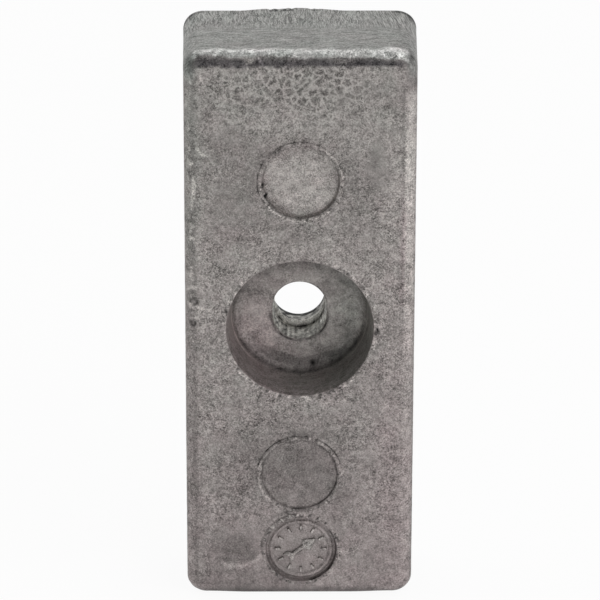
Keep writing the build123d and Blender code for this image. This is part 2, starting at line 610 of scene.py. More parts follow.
        # Painted light on the right edge's strip, strongest above the bolt, and painted shade near its top
        # and on its outer rim
        rim = smooth_step(1.75, 1.45, in_from_right + ragged) * smooth_step(0.05, 0.35, in_from_right)
        bright = 0.14 + 0.48 * smooth_step(32.0, 46.0, up)
        bright *= smooth_step(75.5, 73.0, up)
        stain += bright * rim * ends * smooth_step(s.front_y + 1.9, s.front_y + 1.3, deep)
        stain -= 0.16 * smooth_step(2.4, 1.6, in_from_right + ragged) * smooth_step(73.0, 75.0, up)
        stain -= 0.40 * smooth_step(0.66, 0.26, in_from_right + 0.6 * ragged) * ends
        in_from_left = s.width / 2 + across
        # Painted shade on the left edge, a darker dip, and pale chips
        left = smooth_step(1.9, 1.5, in_from_left + ragged)
        stain -= 0.15 * left * ends * front
        dip = bell(in_from_left + 0.7 * ragged, 1.45, 0.28)
        stain -= 0.20 * dip * ends * front * patchy(points, 1.6, 94, 0.7, 0.9, 0, 1.4)
        chipped = bell(in_from_left + ragged, 1.2, 0.55) * smooth_step(34.0, 42.0, up)
        stain += 1.3 * chipped * ends * front * smooth_step(0.10, 0.36, layered_noise(points, 0.6, 98, 2))
        # Thin dark seam inside the bright strip
        seam = bell(in_from_right + ragged, 1.95, 0.16) * smooth_step(34.0, 44.0, up)
        stain -= 0.34 * seam * ends * front * patchy(points, 0.9, 93, 0.6, 1.2, 0, 1.3)
        soft_edge = self.on_soft_edge(deep)
        # Painted shade along the foot and on the left edge's rim, with a paler line inside it
        stain -= 0.42 * smooth_step(1.7, 0.4, up) * soft_edge
        stain -= 0.22 * smooth_step(0.5, 0.2, in_from_left) * ends * soft_edge
        stain += 0.10 * smooth_step(1.3, 1.0, in_from_left + ragged) * ends * soft_edge
        return stain

    def gate_shade_and_dirt(self, points: np.ndarray) -> np.ndarray:
        """Round the ground gate end: painted shade on the sides' back edge, a painted dark reflection on
        the two front corners, torn strips and its dirty back rim.

        Args:
            points: places in millimetres.

        Returns:
            The stain at each point.
        """
        s = self.sizes
        across, deep, up = points.T
        in_from_right, in_from_left = s.width / 2 - across, s.width / 2 + across
        soft_edge = self.on_soft_edge(deep)
        stain = np.zeros(len(across))
        # Shaded back edge of the sides
        far = smooth_step(s.back_y - 3.2, s.back_y - 0.6, deep) * (np.abs(across) > s.width / 2 - 1.6)
        stain -= 0.30 * far * smooth_step(s.length - 12, s.length - 3, up)
        # Torn strips and the dirty rim of the ground end
        on_face = deep > s.back_y - 0.02
        torn = torn_strength(across, s.back_y - deep) * smooth_step(s.length - 0.9, s.length - 0.4, up)
        torn = np.where(on_face, 0.0, torn)
        stain -= 1.25 * torn * smooth_step(-0.35, 0.25, lattice_noise(points, 0.32, 95))
        rim_line = smooth_step(0.85, 0.25, s.back_y - deep) * smooth_step(11.5, 13.6, np.abs(across))
        rim_line *= patchy(points, 0.5, 96, 0.9, 1.5, 0, 1.6)
        rim_line = np.where(on_face, 0.0, rim_line)
        stain -= 0.95 * rim_line * smooth_step(s.length - 5.0, s.length - 2.5, up)
        # Painted dark reflection on the two front corners, where the rounded edge turns
        corner = bell(up, 79.1, 0.9) * smooth_step(1.7, 1.1, in_from_right) * soft_edge
        stain -= 0.75 * corner * patchy(points, 0.6, 97, 0.8, 0.8, 0, 1.3)
        corner = bell(up, 78.6, 1.7) * smooth_step(1.9, 1.2, in_from_left) * soft_edge
        stain -= 0.36 * corner
        return stain

    def plain(self, points: np.ndarray) -> np.ndarray:
        """Where the skin's relief is held back: the mounting face, the foot and the hole."""
        s = self.sizes
        across, deep, up = points.T
        radius = s.from_bolt(across, up)
        back = smooth_step(s.back_y - 1.0, s.back_y - 0.2, deep)
        foot = smooth_step(0.8, 0.1, up)
        hole = (radius < s.lead_in_half_height + 0.4) & (deep > s.front_y + s.seat_depth - 0.1)
        ground = smooth_step(s.length - 1.6, s.length - 0.9, up) * 0.6
        side = 0.6 * smooth_step(s.width / 2 - 0.7, s.width / 2 - 0.2, np.abs(across))
        held = np.maximum.reduce([back, foot, hole.astype(float), ground, side])
        seat = (radius < s.mouth_radius - 0.3) & (deep > s.front_y + 0.3)
        return np.where(seat, np.maximum(held, 0.55), held)

    def seat_masks(self, points: np.ndarray) -> dict[str, np.ndarray]:
        """Inside the bolt's seat: painted shade on the wall, in the crease, low on the floor and under the
        upper rim, painted highlights where the blend starts, floor patches partly painted light, and a
        purple left and a greenish right.
        """
        s = self.sizes
        across, deep, up = points.T
        above = up - s.bolt_height
        radius = s.from_bolt(across, up)
        inside = (radius < s.mouth_radius) & (deep > s.front_y + 0.1)
        exit_bell = s.exit_radius - s.bore_radius
        from_exit = np.hypot(across + s.bore_lean, above - exit_bell) - s.exit_radius
        inside &= (deep < s.back_y - 0.01) | (from_exit < 0.02)
        below = smooth_step(1.5, -5.0, above)
        rightness = smooth_step(-4.0, 6.0, across)
        sunk = deep - s.front_y
        broken = patchy(points, 1.1, 101, 0.8, 0.7, 0.2, 1.4)
        # Painted shade on the wall, deeper below and less to the left, a painted highlight at each side
        # where the blend starts, and painted shade in the crease
        stain = -(0.14 + 0.20 * below - 0.10 * (1 - rightness)) * smooth_step(5.3, 4.9, sunk)
        line = bell(sunk, 5.02, 0.20) * smooth_step(0.0, -0.5, radius - 9.6)
        sides = smooth_step(5.0, 7.5, np.abs(across)) * (1 - 0.3 * rightness)
        stain += 0.85 * line * sides
        crease = bell(sunk, 5.75, 0.42) * (0.06 + 0.32 * below + 0.18 * rightness * below)
        stain -= crease * broken
        # Floor: pale patches to the left and dark ones to the right, partly painted light and painted
        # shade, painted shade low on the floor by the wall below the hole, and specks
        floor = smooth_step(5.3, 5.9, sunk)
        stain += floor * sum(mark.cover(across, up) for mark in self.floor_light_and_marks)
        # Painted shade low on the blend
        stain += smooth_step(5.05, 5.25, sunk) * sum(mark.cover(across, up) for mark in self.blend_shade)
        low_middle = smooth_step(-2.0, 0.0, across) * smooth_step(6.5, 4.0, across)
        # Painted shade low on the floor, by the wall and below the hole
        shade_starts = 6.75 + 0.55 * low_middle + 2.0 * smooth_step(3.5, 7.8, np.abs(across))
        shade_starts += 0.35 * layered_noise(points, 1.5, 106) + 0.2 * layered_noise(points, 0.5, 109)
        painted_shading = smooth_step(shade_starts - 0.08, shade_starts + 0.08, radius) * floor
        stain -= (0.44 - 0.12 * rightness) * painted_shading * smooth_step(-1.0, -3.5, above)
        stain -= 0.30 * smooth_step(0.45, 0.65, lattice_noise(points, 0.36, 108)) * floor
        # Shade under the mouth's upper rim
        under_rim = s.mouth_radius - np.hypot(across, above + 0.454 * sunk)
        reach = 0.95 + 0.45 * rightness + 0.35 * layered_noise(points, 1.2, 107)
        dark = np.exp(-((np.clip(under_rim, 0, None) / reach) ** 4))
        stain -= 0.38 * dark * smooth_step(4.4, 5.4, sunk) * smooth_step(-1.0, 3.0, above)
        blush = 0.75 * smooth_step(1.0, -6.0, across) * (0.25 + 0.75 * smooth_step(3.0, -4.0, above))
        blush -= 0.15 + 0.6 * smooth_step(1.0, 7.0, across)
        # The hole's edge: a painted shadow line at its foot and chipped pale elsewhere
        from_hole = s.from_lead_in(across, up)
        chips = layered_noise(points, 0.5, 102, 2)
        foot = smooth_step(1.0, -2.0, above)
        stain -= 1.1 * bell(from_hole, 0.2, 0.2) * foot * np.clip(0.8 + chips, 0, 1.1) * floor
        pale = bell(from_hole, 0.10, 0.12) * (1 - 0.8 * foot)
        stain += 0.45 * pale * np.clip(0.3 + 1.5 * chips, -1, 1) * floor
        hole = sunk > s.seat_depth + 0.1
        blush = np.where(hole, -0.9, blush)
        stain = np.where(hole, self.hole_light_and_marks(points, chips), stain)
        return {"stain": np.where(inside, stain, 0.0), "blush": np.where(inside, blush, 0.0)}

    def hole_light_and_marks(self, points: np.ndarray, chips: np.ndarray) -> np.ndarray:
        """Painted light and shade down the cored hole, across its ribs, with its pits and corrosion.

        Args:
            points: places in millimetres.
            chips: fine noise that the seat has too.

        Returns:
            The stain at each point.
        """
        s = self.sizes
        across, deep, up = points.T
        sunk = deep - s.front_y
        step = s.seat_depth + s.lead_in_depth
        pits = (np.abs(sunk - step) < 0.01) * smooth_step(-0.2, 0.3, lattice_noise(points, 0.6, 103))
        pits += (np.abs(sunk - step - 0.25) < 0.1) * smooth_step(0.1, 0.4, lattice_noise(points, 0.5, 105))
        # Painted light on the ledge at the step
        shelf = (np.abs(sunk - step - 0.035) < 0.02) * 1.3
        # Painted shade towards the exit's edge
        edge = smooth_step(s.thickness - 1.1, s.thickness - 0.6, sunk)
        share = patchy(points, 2.2, 104, 0.5, 1.3, 0, 1)
        # Painted light and shade across the flutes
        ribs = (s.flute(across, up) - 0.5) * smooth_step(step, step - 0.8, sunk) * share
        # Painted shade deeper in, from the step on
        far = 0.20 * smooth_step(step - 0.6, step, sunk) + 0.30 * smooth_step(
            step + 0.08, step + 0.25, sunk
        )
        eaten = Arc(*BOLT, 3.6, 0.6, 200, 262, 1.0).cover(across, up)
        rough = (1.7 + 1.6 * eaten) * chips + 1.6 * ribs
        # The 0.40 is painted light over the whole hole
        return 0.40 + rough - 1.1 * pits - 0.25 * eaten - far - edge + shelf


# ---------------------------------------------------------------- mesh patches


@dataclass
class Patch:
    """One stretch of skin, with its finish masks at each point."""

    points: np.ndarray
    faces: np.ndarray
    masks: dict[str, np.ndarray] = field(default_factory=dict)


MASKS = ("ground", "burnish_and_highlight", "lap_and_dark_reflection", "seat")


def graded_centres(
    low: tuple[float, float],
    high: tuple[float, float],
    coarse: float,
    spacing: Callable[[np.ndarray], np.ndarray],
) -> np.ndarray:
    """Middles of square cells that are split in four until they are fine enough.

    Args:
        low: the lowest corner of the area.
        high: the highest corner.
        coarse: the largest cell.
        spacing: gives the cell size wanted at each point.

    Returns:
        One point for each cell.
    """
    counts = [max(1, round((h - lo) / coarse)) for lo, h in zip(low, high)]
    steps = [(h - lo) / n for lo, h, n in zip(low, high, counts)]
    axes = [lo + (np.arange(n) + 0.5) * d for lo, n, d in zip(low, counts, steps)]
    cells = np.stack(np.meshgrid(*axes, indexing="ij"), -1).reshape(-1, 2)
    size = np.array(steps)
    done = []
    while len(cells):
        split = size.max() > spacing(cells) * 1.2
        done.append(cells[~split])
        corners = np.array([(-1, -1), (-1, 1), (1, -1), (1, 1)]) / 4
        cells = (cells[split][:, None] + corners[None] * size).reshape(-1, 2)
        size = size / 2
    return np.concatenate(done)


def triangulate(flat: np.ndarray, rim: np.ndarray, hole: Optional[np.ndarray] = None) -> np.ndarray:
    """Delaunay triangles of points on a plane.

    Args:
        flat: one row of two coordinates for each point.
        rim: numbers of the points once round the outside, anticlockwise.
        hole: numbers of the points once round a hole.

    Returns:
        One row of three point numbers for each triangle.
    """
    loops = [rim.tolist()] + ([] if hole is None else [hole.tolist()])
    edges = [(a, b) for loop in loops for a, b in zip(loop, loop[1:] + loop[:1])]
    result = geometry.delaunay_2d_cdt([Vector(p) for p in flat.tolist()], edges, loops[:1], 1, 1e-7, True)
    kept = [origins[0] if origins else -1 for origins in result[3]]
    faces = np.array([[kept[v] for v in face] for face in result[2]], dtype=np.int64)
    faces = faces[(faces >= 0).all(axis=1)]
    place = np.full(len(flat), -1)
    place[rim] = np.arange(len(rim))
    in_turn = np.take_along_axis(faces, np.argsort(place[faces], axis=1), axis=1)
    a, b = (flat[in_turn[:, n]] - flat[in_turn[:, 0]] for n in (1, 2))
    backwards = a[:, 0] * b[:, 1] - a[:, 1] * b[:, 0] < 1e-6
    outside = backwards & (place[faces] >= 0).all(axis=1)
    if hole is not None:
        outside |= np.isin(faces, hole).all(axis=1)
    return faces[~outside]


def ring_faces(rows: int, around: int) -> np.ndarray:
    """Quads that join closed rings of the same number of points."""
    row, step = np.meshgrid(np.arange(rows - 1), np.arange(around), indexing="ij")
    here = (row * around + step).ravel()
    beside = (row * around + (step + 1) % around).ravel()
    return columns(here, beside, beside + around, here + around)


class CastBlock:
    """The casting's whole skin as one closed mesh: fine where it is looked at, coarse behind."""

    cast_dents: tuple = (
        *blots((-8.6, 7.6, 3.0, 2.4, -0.16)),
        *arcs((-8.6, 8.9), (4.3, 0.40, -125, -28, 0.10)),
    )

    def __init__(self, sizes: BlockSizes) -> None:
        """Settles the samples that neighbouring patches share.

        Args:
            sizes: the block's sizes.
        """
        self.sizes = sizes
        self.outline = Outline(sizes)
        self.fine = 0.225
        self.edge_fine = 0.25
        self.mouth_count = 288
        self.lead_in_count = 240
        self.front_samples = self.samples(self.edge_fine, 0.36)
        self.back_samples = self.samples(0.27, 0.9)

    def samples(self, fine: float, coarse: float) -> np.ndarray:
        """Places along the outline: fine round the gate end, coarse round the square end."""
        spot = 0.0
        places = [0.0]
        o = self.outline
        while True:
            near_top = o.starts[3] - 1.5 < spot < o.starts[6] + 1.5
            near_bottom = spot < o.starts[1] - 1 or spot > o.starts[8] + 1
            step = fine if near_top else (coarse if near_bottom else (fine + coarse) / 2)
            spot += step
            if spot > o.total - step / 2:
                break
            places.append(spot)
        return np.array(places)

    # -- the rounded edge and the four sides

    def band_point(self, along: np.ndarray, across: np.ndarray) -> np.ndarray:
        """Places on the soft front edge and the side behind it.

        Args:
            along: distance round the outline.
            across: distance from the front face's flat, over the soft edge and down the side.

        Returns:
            Points in three dimensions.
        """
        s = self.sizes
        radius = s.edge_radius
        front, out = self.outline.at(along, 0)
        back, _ = self.outline.at(along, 1)
        lean = ((back - front) * out).sum(axis=1) / s.thickness
        length = np.sqrt(1 + lean**2)
        turn_all = math.pi / 2 - np.arctan(lean)
        arc = radius * math.pi / 2
        side = s.thickness - radius
        turn = np.clip(across / arc, 0, 1) * turn_all
        centre = lean * radius - radius * length
        outward = centre + radius * np.sin(turn)
        deep = radius - radius * np.cos(turn)
        edge = columns(
            front[:, 0] + out[:, 0] * outward, s.front_y + deep, front[:, 1] + out[:, 1] * outward
        )
        base = columns(back[:, 0], np.full(len(along), s.back_y), back[:, 1])
        part = np.clip((across - arc) / side, 0, 1)[:, None]
        return edge * (1 - part) + base * part

    @property
    def band_width(self) -> float:
        """From the front face's flat to the mounting face, over the soft edge."""
        radius = self.sizes.edge_radius
        return radius * math.pi / 2 + self.sizes.thickness - radius

    def edge_band(self) -> Patch:
        """Meshes the soft front edge and the four sides, finest at the gate end."""
        s, o = self.sizes, self.outline
        width = self.band_width
        arc = s.soft_edge

        def spacing(cells: np.ndarray) -> np.ndarray:
            """Cell size wanted at each place: fine at the soft edge and the gate end."""
            along, across = cells[:, 0], cells[:, 1]
            top = (along > o.starts[3] - 1) & (along < o.starts[6] + 1)
            bottom = (along < o.starts[1]) | (along > o.starts[8])
            soft = across < arc + 0.6
            back_rim = across > width - 0.8
            size = np.where(soft | back_rim, 0.45, 0.9)
            size = np.where(soft & ~bottom, 0.225, size)
            return np.where(top, 0.225, size)

        seam_rows = np.arange(0, width + 0.01, 0.45)[1:-1]
        inner = graded_centres((0.0, 0.0), (o.total, width), 0.9, spacing)
        clear = (inner[:, 1] > 0.13) & (inner[:, 1] < width - 0.13)
        clear &= (inner[:, 0] > 0.2) & (inner[:, 0] < o.total - 0.2)
        inner = inner[clear]
        front = np.append(self.front_samples, o.total)
        back = np.append(self.back_samples, o.total)
        flat = np.concatenate(
            [
                columns(front, np.zeros_like(front)),
                columns(back, np.full_like(back, width)),
                columns(np.zeros_like(seam_rows), seam_rows),
                columns(np.full_like(seam_rows, o.total), seam_rows),
                inner,
            ]
        )
        ends = np.cumsum([len(front), len(back), len(seam_rows), len(seam_rows)])
        last_seam = np.arange(ends[2], ends[3])
        back_row = np.arange(ends[0], ends[1])[::-1]
        first_seam = np.arange(ends[1], ends[2])[::-1]
        faces = triangulate(flat, np.concatenate([np.arange(ends[0]), last_seam, back_row, first_seam]))
        wrapped = flat.copy()
        wrapped[wrapped[:, 0] >= o.total - 1e-9, 0] = 0.0
        points = self.band_point(wrapped[:, 0], wrapped[:, 1])
        masks = self.band_masks(wrapped[:, 0], wrapped[:, 1], points)
        points = self.raise_gate_scar(wrapped, points)
        points = self.roll_burr(wrapped, points)
        return Patch(points, faces, masks)

    def band_masks(
        self, along: np.ndarray, across: np.ndarray, points: np.ndarray
    ) -> dict[str, np.ndarray]:
        """Finish masks of the soft edge and the sides, with its rubbed band and the dark band under it,
        both partly painted light.
        """
        s, o = self.sizes, self.outline
        arc = s.soft_edge
        turn = across / arc
        wander = lattice_noise(points, 2.2, 5) * 0.06 + lattice_noise(points, 0.7, 6) * 0.05
        across = points[:, 0]
        flat_top = smooth_step(o.starts[3] + 0.8, o.starts[4] - 0.5, along) * smooth_step(
            o.starts[6] - 0.5, o.starts[5] + 1.2, along
        )
        all_top = smooth_step(o.starts[3] - 2.5, o.starts[3] + 0.6, along) * smooth_step(
            o.starts[6] + 2.5, o.starts[6] - 0.6, along
        )
        wide = 0.55 * smooth_step(9.5, 12.5, across)
        low_edge = 0.43 + 0.05 * smooth_step(0.0, -9.0, across) - 0.10 * wide + 0.03 * np.sin(across * 0.9)
        high_edge = 1.02 + 0.42 * wide + 0.06 * np.sin(across * 1.7 + 1.0)
        # Bright band on the rounded edge: rubbed metal and a painted highlight
        burnish_and_highlight = flat_top * smooth_step(low_edge - 0.05, low_edge + 0.07, turn + wander)
        burnish_and_highlight *= smooth_step(high_edge + 0.12, high_edge - 0.16, turn + wander)
        burnish_and_highlight *= smooth_step(14.6, 14.2, across + 2 * wander) * smooth_step(
            -14.4, -13.95, across + 2 * wander
        )
        ground = all_top * smooth_step(0.30, 0.75, turn + wander + 0.4 * (1 - flat_top))
        # Dark band under the rounded edge: partly a fold, partly a painted dark reflection
        fold = smooth_step(-0.10, 0.04, turn + wander * 1.6) * smooth_step(
            low_edge + 0.12, low_edge - 0.10, turn + wander
        )
        depth = 0.62 + 0.38 * smooth_step(low_edge - 0.02, low_edge - 0.26, turn)
        vee = np.exp(-(((across + 6.7) / (0.15 + 2.2 * np.clip(turn, 0, 1))) ** 4))
        notch = 1.75 * vee + 0.8 * bell(across, 5.2, 1.3) * (0.6 + 0.4 * np.sin(turn * 9))
        lap_and_dark_reflection = flat_top * fold * depth * (1 - 0.5 * notch)
        return {"ground": ground, "burnish_and_highlight": burnish_and_highlight, "lap_and_dark_reflection": lap_and_dark_reflection}

    def raise_gate_scar(self, flat: np.ndarray, points: np.ndarray) -> np.ndarray:
        """Lifts the low crown that grinding left of the gate, torn along its back."""
        s = self.sizes
        half = s.gate_width / 2
        crown = s.crown_top - s.length
        from_middle = (points[:, 0] - s.gate_offset) / half
        behind = s.back_y - points[:, 1]
        fall = crown / s.gate_run
        height = crown * np.clip(1 - from_middle**2, 0, 1) ** 1.3 - fall * behind
        on_end = (flat[:, 1] > s.soft_edge) & (points[:, 2] > s.length - 3)
        height = np.where(on_end, np.clip(height, 0, None), 0)
        lifted = points.copy()
        loss = s.grinding_loss * smooth_step(s.length - 0.8, s.length - 0.1, points[:, 2])
        lifted[:, 2] += height - loss
        torn = torn_strength(points[:, 0], behind) * on_end
        rough = layered_noise(points[:, :2], 0.5, 31, 2)
        lifted[:, 2] -= torn * (0.10 + 0.16 * rough)
        return lifted

    def roll_burr(self, flat: np.ndarray, points: np.ndarray) -> np.ndarray:
        """Rolls a lumpy burr over the front of the gate end, as grinding does."""
        s, o = self.sizes, self.outline
        arc = s.soft_edge
        turn = flat[:, 1] / arc
        on_top = smooth_step(o.starts[3] + 2.4, o.starts[4] + 0.4, flat[:, 0]) * smooth_step(
            o.starts[6] - 2.4, o.starts[5] - 0.4, flat[:, 0]
        )
        bead = bell(turn, 0.70, 0.17)
        groove = bell(turn, 0.36, 0.16)
        lumps = 0.75 + 0.45 * layered_noise(points[:, [0]], 1.1, 41, 3)
        rise = on_top * smooth_step(0.0, 0.15, turn) * (0.16 * bead * lumps - 0.07 * groove)
        angle = turn * math.pi / 2
        moved = points.copy()
        moved[:, 1] -= rise * np.cos(angle)
        moved[:, 2] += rise * np.sin(angle)
        return moved

    # -- the front face

    def mouth_ring(self, count: int, radius: float) -> np.ndarray:
        """Points round the bolt's axis, as (across, up)."""
        turn = np.arange(count) / count * 2 * math.pi
        return columns(radius * np.cos(turn), self.sizes.bolt_height + radius * np.sin(turn))

    def mouth_rim(self) -> np.ndarray:
        """The seat's chipped mouth in the front face, as (across, up)."""
        s = self.sizes
        even = self.mouth_ring(self.mouth_count, 1.0) - [0.0, s.bolt_height]
        chips = layered_noise(even * s.mouth_radius, 0.8, 131, 3)
        return [0.0, s.bolt_height] + even * (s.mouth_radius + s.mouth_chips * chips)[:, None]

    def front_skin(self) -> Patch:
        """Meshes the front face, with the insert marks standing in its relief."""
        s = self.sizes
        loop = self.band_point(self.front_samples, np.zeros_like(self.front_samples))[:, [0, 2]]
        mouth = self.mouth_rim()
        rings = []
        for mark in s.marks:
            for radius in mark.rows():
                count = int(2 * math.pi * radius / 0.21)
                turn = np.arange(count) / count * 2 * math.pi
                rings.append(columns(mark.across + radius * np.cos(turn), mark.up + radius * np.sin(turn)))
        low, high = loop.min(axis=0), loop.max(axis=0)
        rings = np.concatenate(rings)
        corner = s.corner_radius - s.edge_radius
        rings = rings[self.clear_of_edges(rings, low, high, corner, 0.13)]
        inner = graded_centres(
            tuple(low), tuple(high), self.fine * 4, lambda cells: np.full(len(cells), self.fine)
        )
        inner = inner[self.clear_of_edges(inner, low, high, corner, 0.13)]
        bolt = s.from_bolt(*inner.T)
        keep = bolt > s.mouth_radius + 0.2
        for mark in s.marks:
            distance = mark.distance(inner[:, 0], inner[:, 1])
            for radius in mark.rows():
                keep &= np.abs(distance - radius) > 0.08
        flat = np.concatenate([loop, mouth, rings, inner[keep]])
        faces = triangulate(flat, np.arange(len(loop)), len(loop) + np.arange(len(mouth)))
        fixed = np.arange(len(flat)) < len(loop) + len(mouth)
        rise = np.where(fixed, 0, self.front_relief(flat))
        points = columns(flat[:, 0], s.front_y - rise, flat[:, 1])
        # The dark band reaches onto the front face: partly a fold, partly a painted dark reflection
        edge_top = high[1] - flat[:, 1]
        ragged = lattice_noise(flat, 1.6, 7) * 0.12 + lattice_noise(flat, 0.4, 8) * 0.10
        reach = 0.42 - 0.10 * smooth_step(-4.0, 8.0, flat[:, 0])
        lap_and_dark_reflection = smooth_step(
            0.16, -0.10, edge_top + ragged - reach + 0.1
        ) * smooth_step(14.5, 13.8, np.abs(flat[:, 0]))
        return Patch(points, faces, {"lap_and_dark_reflection": lap_and_dark_reflection})

    def clear_of_edges(
        self, cells: np.ndarray, low: np.ndarray, high: np.ndarray, radius: float, margin: float
    ) -> np.ndarray:
        """True for points that lie more than the margin inside a rectangle with rounded corners."""
        middle, half = np.add(low, high) / 2, np.subtract(high, low) / 2
        over = np.abs(cells - middle) - (half - radius)
        outside = np.hypot(*np.clip(over, 0, None).T) + np.clip(over.max(axis=1), None, 0)
        return outside < radius - margin

    def front_relief(self, flat: np.ndarray) -> np.ndarray:
        """Height of the front face's own features above its plane.

        Args:
            flat: places on the face as (across, up).

        Returns:
            One height for each place, below zero in a hollow.
        """
        s = self.sizes
        height = np.zeros(len(flat))
        for mark in s.marks:
            distance = mark.distance(flat[:, 0], flat[:, 1])
            angle = np.arctan2(flat[:, 1] - mark.up, flat[:, 0] - mark.across)
            wall = smooth_step(mark.floor_radius(), mark.radius, distance)
            height += -mark.depth * (1 - wall) + mark.inner_rim(distance)
            ring = np.clip(1 - ((distance - mark.ring_radius()) / (mark.flash_width / 2)) ** 2, 0, 1)
            rim = columns(np.cos(angle), np.sin(angle)) * mark.radius
            broken = np.clip(0.5 + 0.9 * layered_noise(rim, 1.2, mark.seed, 3), 0.05, 1)
            height += s.flash_height * ring * broken
        return height + sum(form.cover(*flat.T) for form in self.cast_dents)

    # -- the bolt's seat and hole

    def seat_profile(self) -> np.ndarray:
        """The counterbore's section as (radius, depth below the front face), mouth first."""
        s = self.sizes
        draft = math.radians(s.seat_draft)
        cone_top = s.mouth_radius - s.mouth_break
        floor_edge = cone_top - s.seat_depth * math.tan(draft)
        turn_all = math.pi / 2 - draft
        centre_r = floor_edge - s.blend_radius * math.tan(turn_all / 2)
        centre_d = s.seat_depth - s.blend_radius
        turns = np.linspace(draft, math.pi / 2, 12) - draft
        angle = turns + draft
        blend = np.stack(
            [centre_r + s.blend_radius * np.cos(angle), centre_d + s.blend_radius * np.sin(angle)],
            -1,
        )
        start = np.array([s.mouth_radius, 0.0])
        lip = np.array([[s.mouth_radius - s.mouth_break * 0.7, 0.06], [cone_top, 0.22]])
        wall_rows = 24
        share = np.linspace(0, 1, wall_rows)[1:-1, None]
        wall = lip[-1] * (1 - share) + blend[0] * share
        return np.concatenate([start[None], lip, wall, blend])

    def bolt_seat(self) -> list[Patch]:
        """Meshes the counterbore, its floor and the stepped hole."""
        s = self.sizes
        count = self.mouth_count
        profile = self.seat_profile()
        rows = []
        for radius, depth in profile:
            ring = self.mouth_ring(count, radius) if rows else self.mouth_rim()
            rows.append(columns(ring[:, 0], np.full(count, s.front_y + depth), ring[:, 1]))
        wall = Patch(np.concatenate(rows), ring_faces(len(profile), count))
        floor_y = s.front_y + s.seat_depth
        hole = self.lead_in_ring(s.lead_in_break)
        outer = rows[-1][:, [0, 2]]
        reach = float(profile[-1][0])
        low = (-reach, s.bolt_height - reach)
        high = (reach, s.bolt_height + reach)
        inner = graded_centres(low, high, self.fine * 4, lambda cells: np.full(len(cells), self.fine))
        bolt = s.from_bolt(*inner.T)
        from_hole = s.from_lead_in(inner[:, 0], inner[:, 1])
        inner = inner[(bolt < reach - 0.13) & (from_hole > s.lead_in_break + 0.13)]
        flat = np.concatenate([outer, hole, inner])
        faces = triangulate(flat, np.arange(len(outer)), len(outer) + np.arange(len(hole)))
        floor = Patch(columns(flat[:, 0], np.full(len(flat), floor_y), flat[:, 1]), faces)
        lead = self.lead_in_wall(floor_y)
        for patch in (wall, floor, lead):
            patch.masks["seat"] = np.ones(len(patch.points))
        wall.masks["seat"][:count] = 0.35
        return [wall, floor, lead]

    def lead_in_ring(self, grow: "float | np.ndarray") -> np.ndarray:
        """The lead-in's tall outline, grown by so much, as (across, up)."""
        s = self.sizes
        turn = np.arange(self.lead_in_count) / self.lead_in_count * 2 * math.pi
        straight = s.lead_in_half_height - s.lead_in_half_width
        radius = s.lead_in_half_width + grow
        across = radius * np.cos(turn)
        up = radius * np.sin(turn) + straight * np.clip(np.sin(turn) * 6, -1, 1)
        return columns(across, s.bolt_height - s.lead_in_drop + up)

    def lead_in_wall(self, floor_y: float) -> Patch:
        """Meshes the hole from the counterbore's floor to the mounting face."""
        s = self.sizes
        count = self.lead_in_count
        rows = []

        def add(ring: np.ndarray, y: float) -> None:
            """Adds a ring of points, so deep along Y."""
            rows.append(columns(ring[:, 0], np.full(count, y), ring[:, 1]))

        add(self.lead_in_ring(s.lead_in_break), floor_y)
        add(self.lead_in_ring(s.lead_in_break * 0.3), floor_y + 0.06)
        step_y = floor_y + s.lead_in_depth
        narrowing = math.tan(math.radians(s.lead_in_draft))
        ridge = s.flute_depth * s.flute(*self.mouth_ring(count, s.lead_in_half_width).T)
        for depth in np.linspace(s.lead_in_break, s.lead_in_depth, 16):
            fade = float(smooth_step(0.2, 0.7, depth) * smooth_step(s.lead_in_depth, 2.5, depth))
            add(self.lead_in_ring(-depth * narrowing - fade * ridge), floor_y + float(depth))
        outer = rows[-1][:, [0, 2]]
        bore = self.mouth_ring(count, s.bore_radius)
        for share in (0.5, 1.0):
            add(outer * (1 - share) + bore * share, step_y + 0.05 * share)
        for depth in np.linspace(0.1, 1, 14):
            add(
                bore * (1 - depth) + self.bore_exit() * depth,
                step_y + 0.05 + float(depth) * (s.back_y - step_y - 0.05),
            )
        return Patch(np.concatenate(rows), ring_faces(len(rows), count))

    def bore_exit(self) -> np.ndarray:
        """The bore's slightly belled exit in the mounting face, as (across, up)."""
        s = self.sizes
        flare = s.exit_radius - s.bore_radius
        return self.mouth_ring(self.lead_in_count, s.exit_radius) + [-s.bore_lean, flare]

    # -- the mounting face

    def mounting_face(self) -> Patch:
        """Meshes the flat back, coarsely, with the bore's plain exit."""
        s = self.sizes
        width = np.full_like(self.back_samples, self.band_width)
        loop = self.raise_gate_scar(
            columns(self.back_samples, width), self.band_point(self.back_samples, width)
        )[:, [0, 2]]
        bore = self.bore_exit()
        low, high = (-s.width / 2, 0.0), (s.width / 2, s.length)
        inner = graded_centres(low, high, 0.9, lambda cells: np.full(len(cells), 0.9))
        bolt = s.from_bolt(*inner.T)
        clear = self.clear_of_edges(inner, low, high, s.corner_radius, 0.4)
        inner = inner[(bolt > s.exit_radius + 0.7) & clear]
        collar = s.bolt_height * np.array([0.0, 1.0]) + (bore - [0.0, s.bolt_height]) * 1.05
        flat = np.concatenate([loop, bore, collar, inner])
        faces = triangulate(flat, np.arange(len(loop)), len(loop) + np.arange(len(bore)))
        points = columns(flat[:, 0], np.full(len(flat), s.back_y), flat[:, 1])
        return Patch(points, faces)

    # -- everything

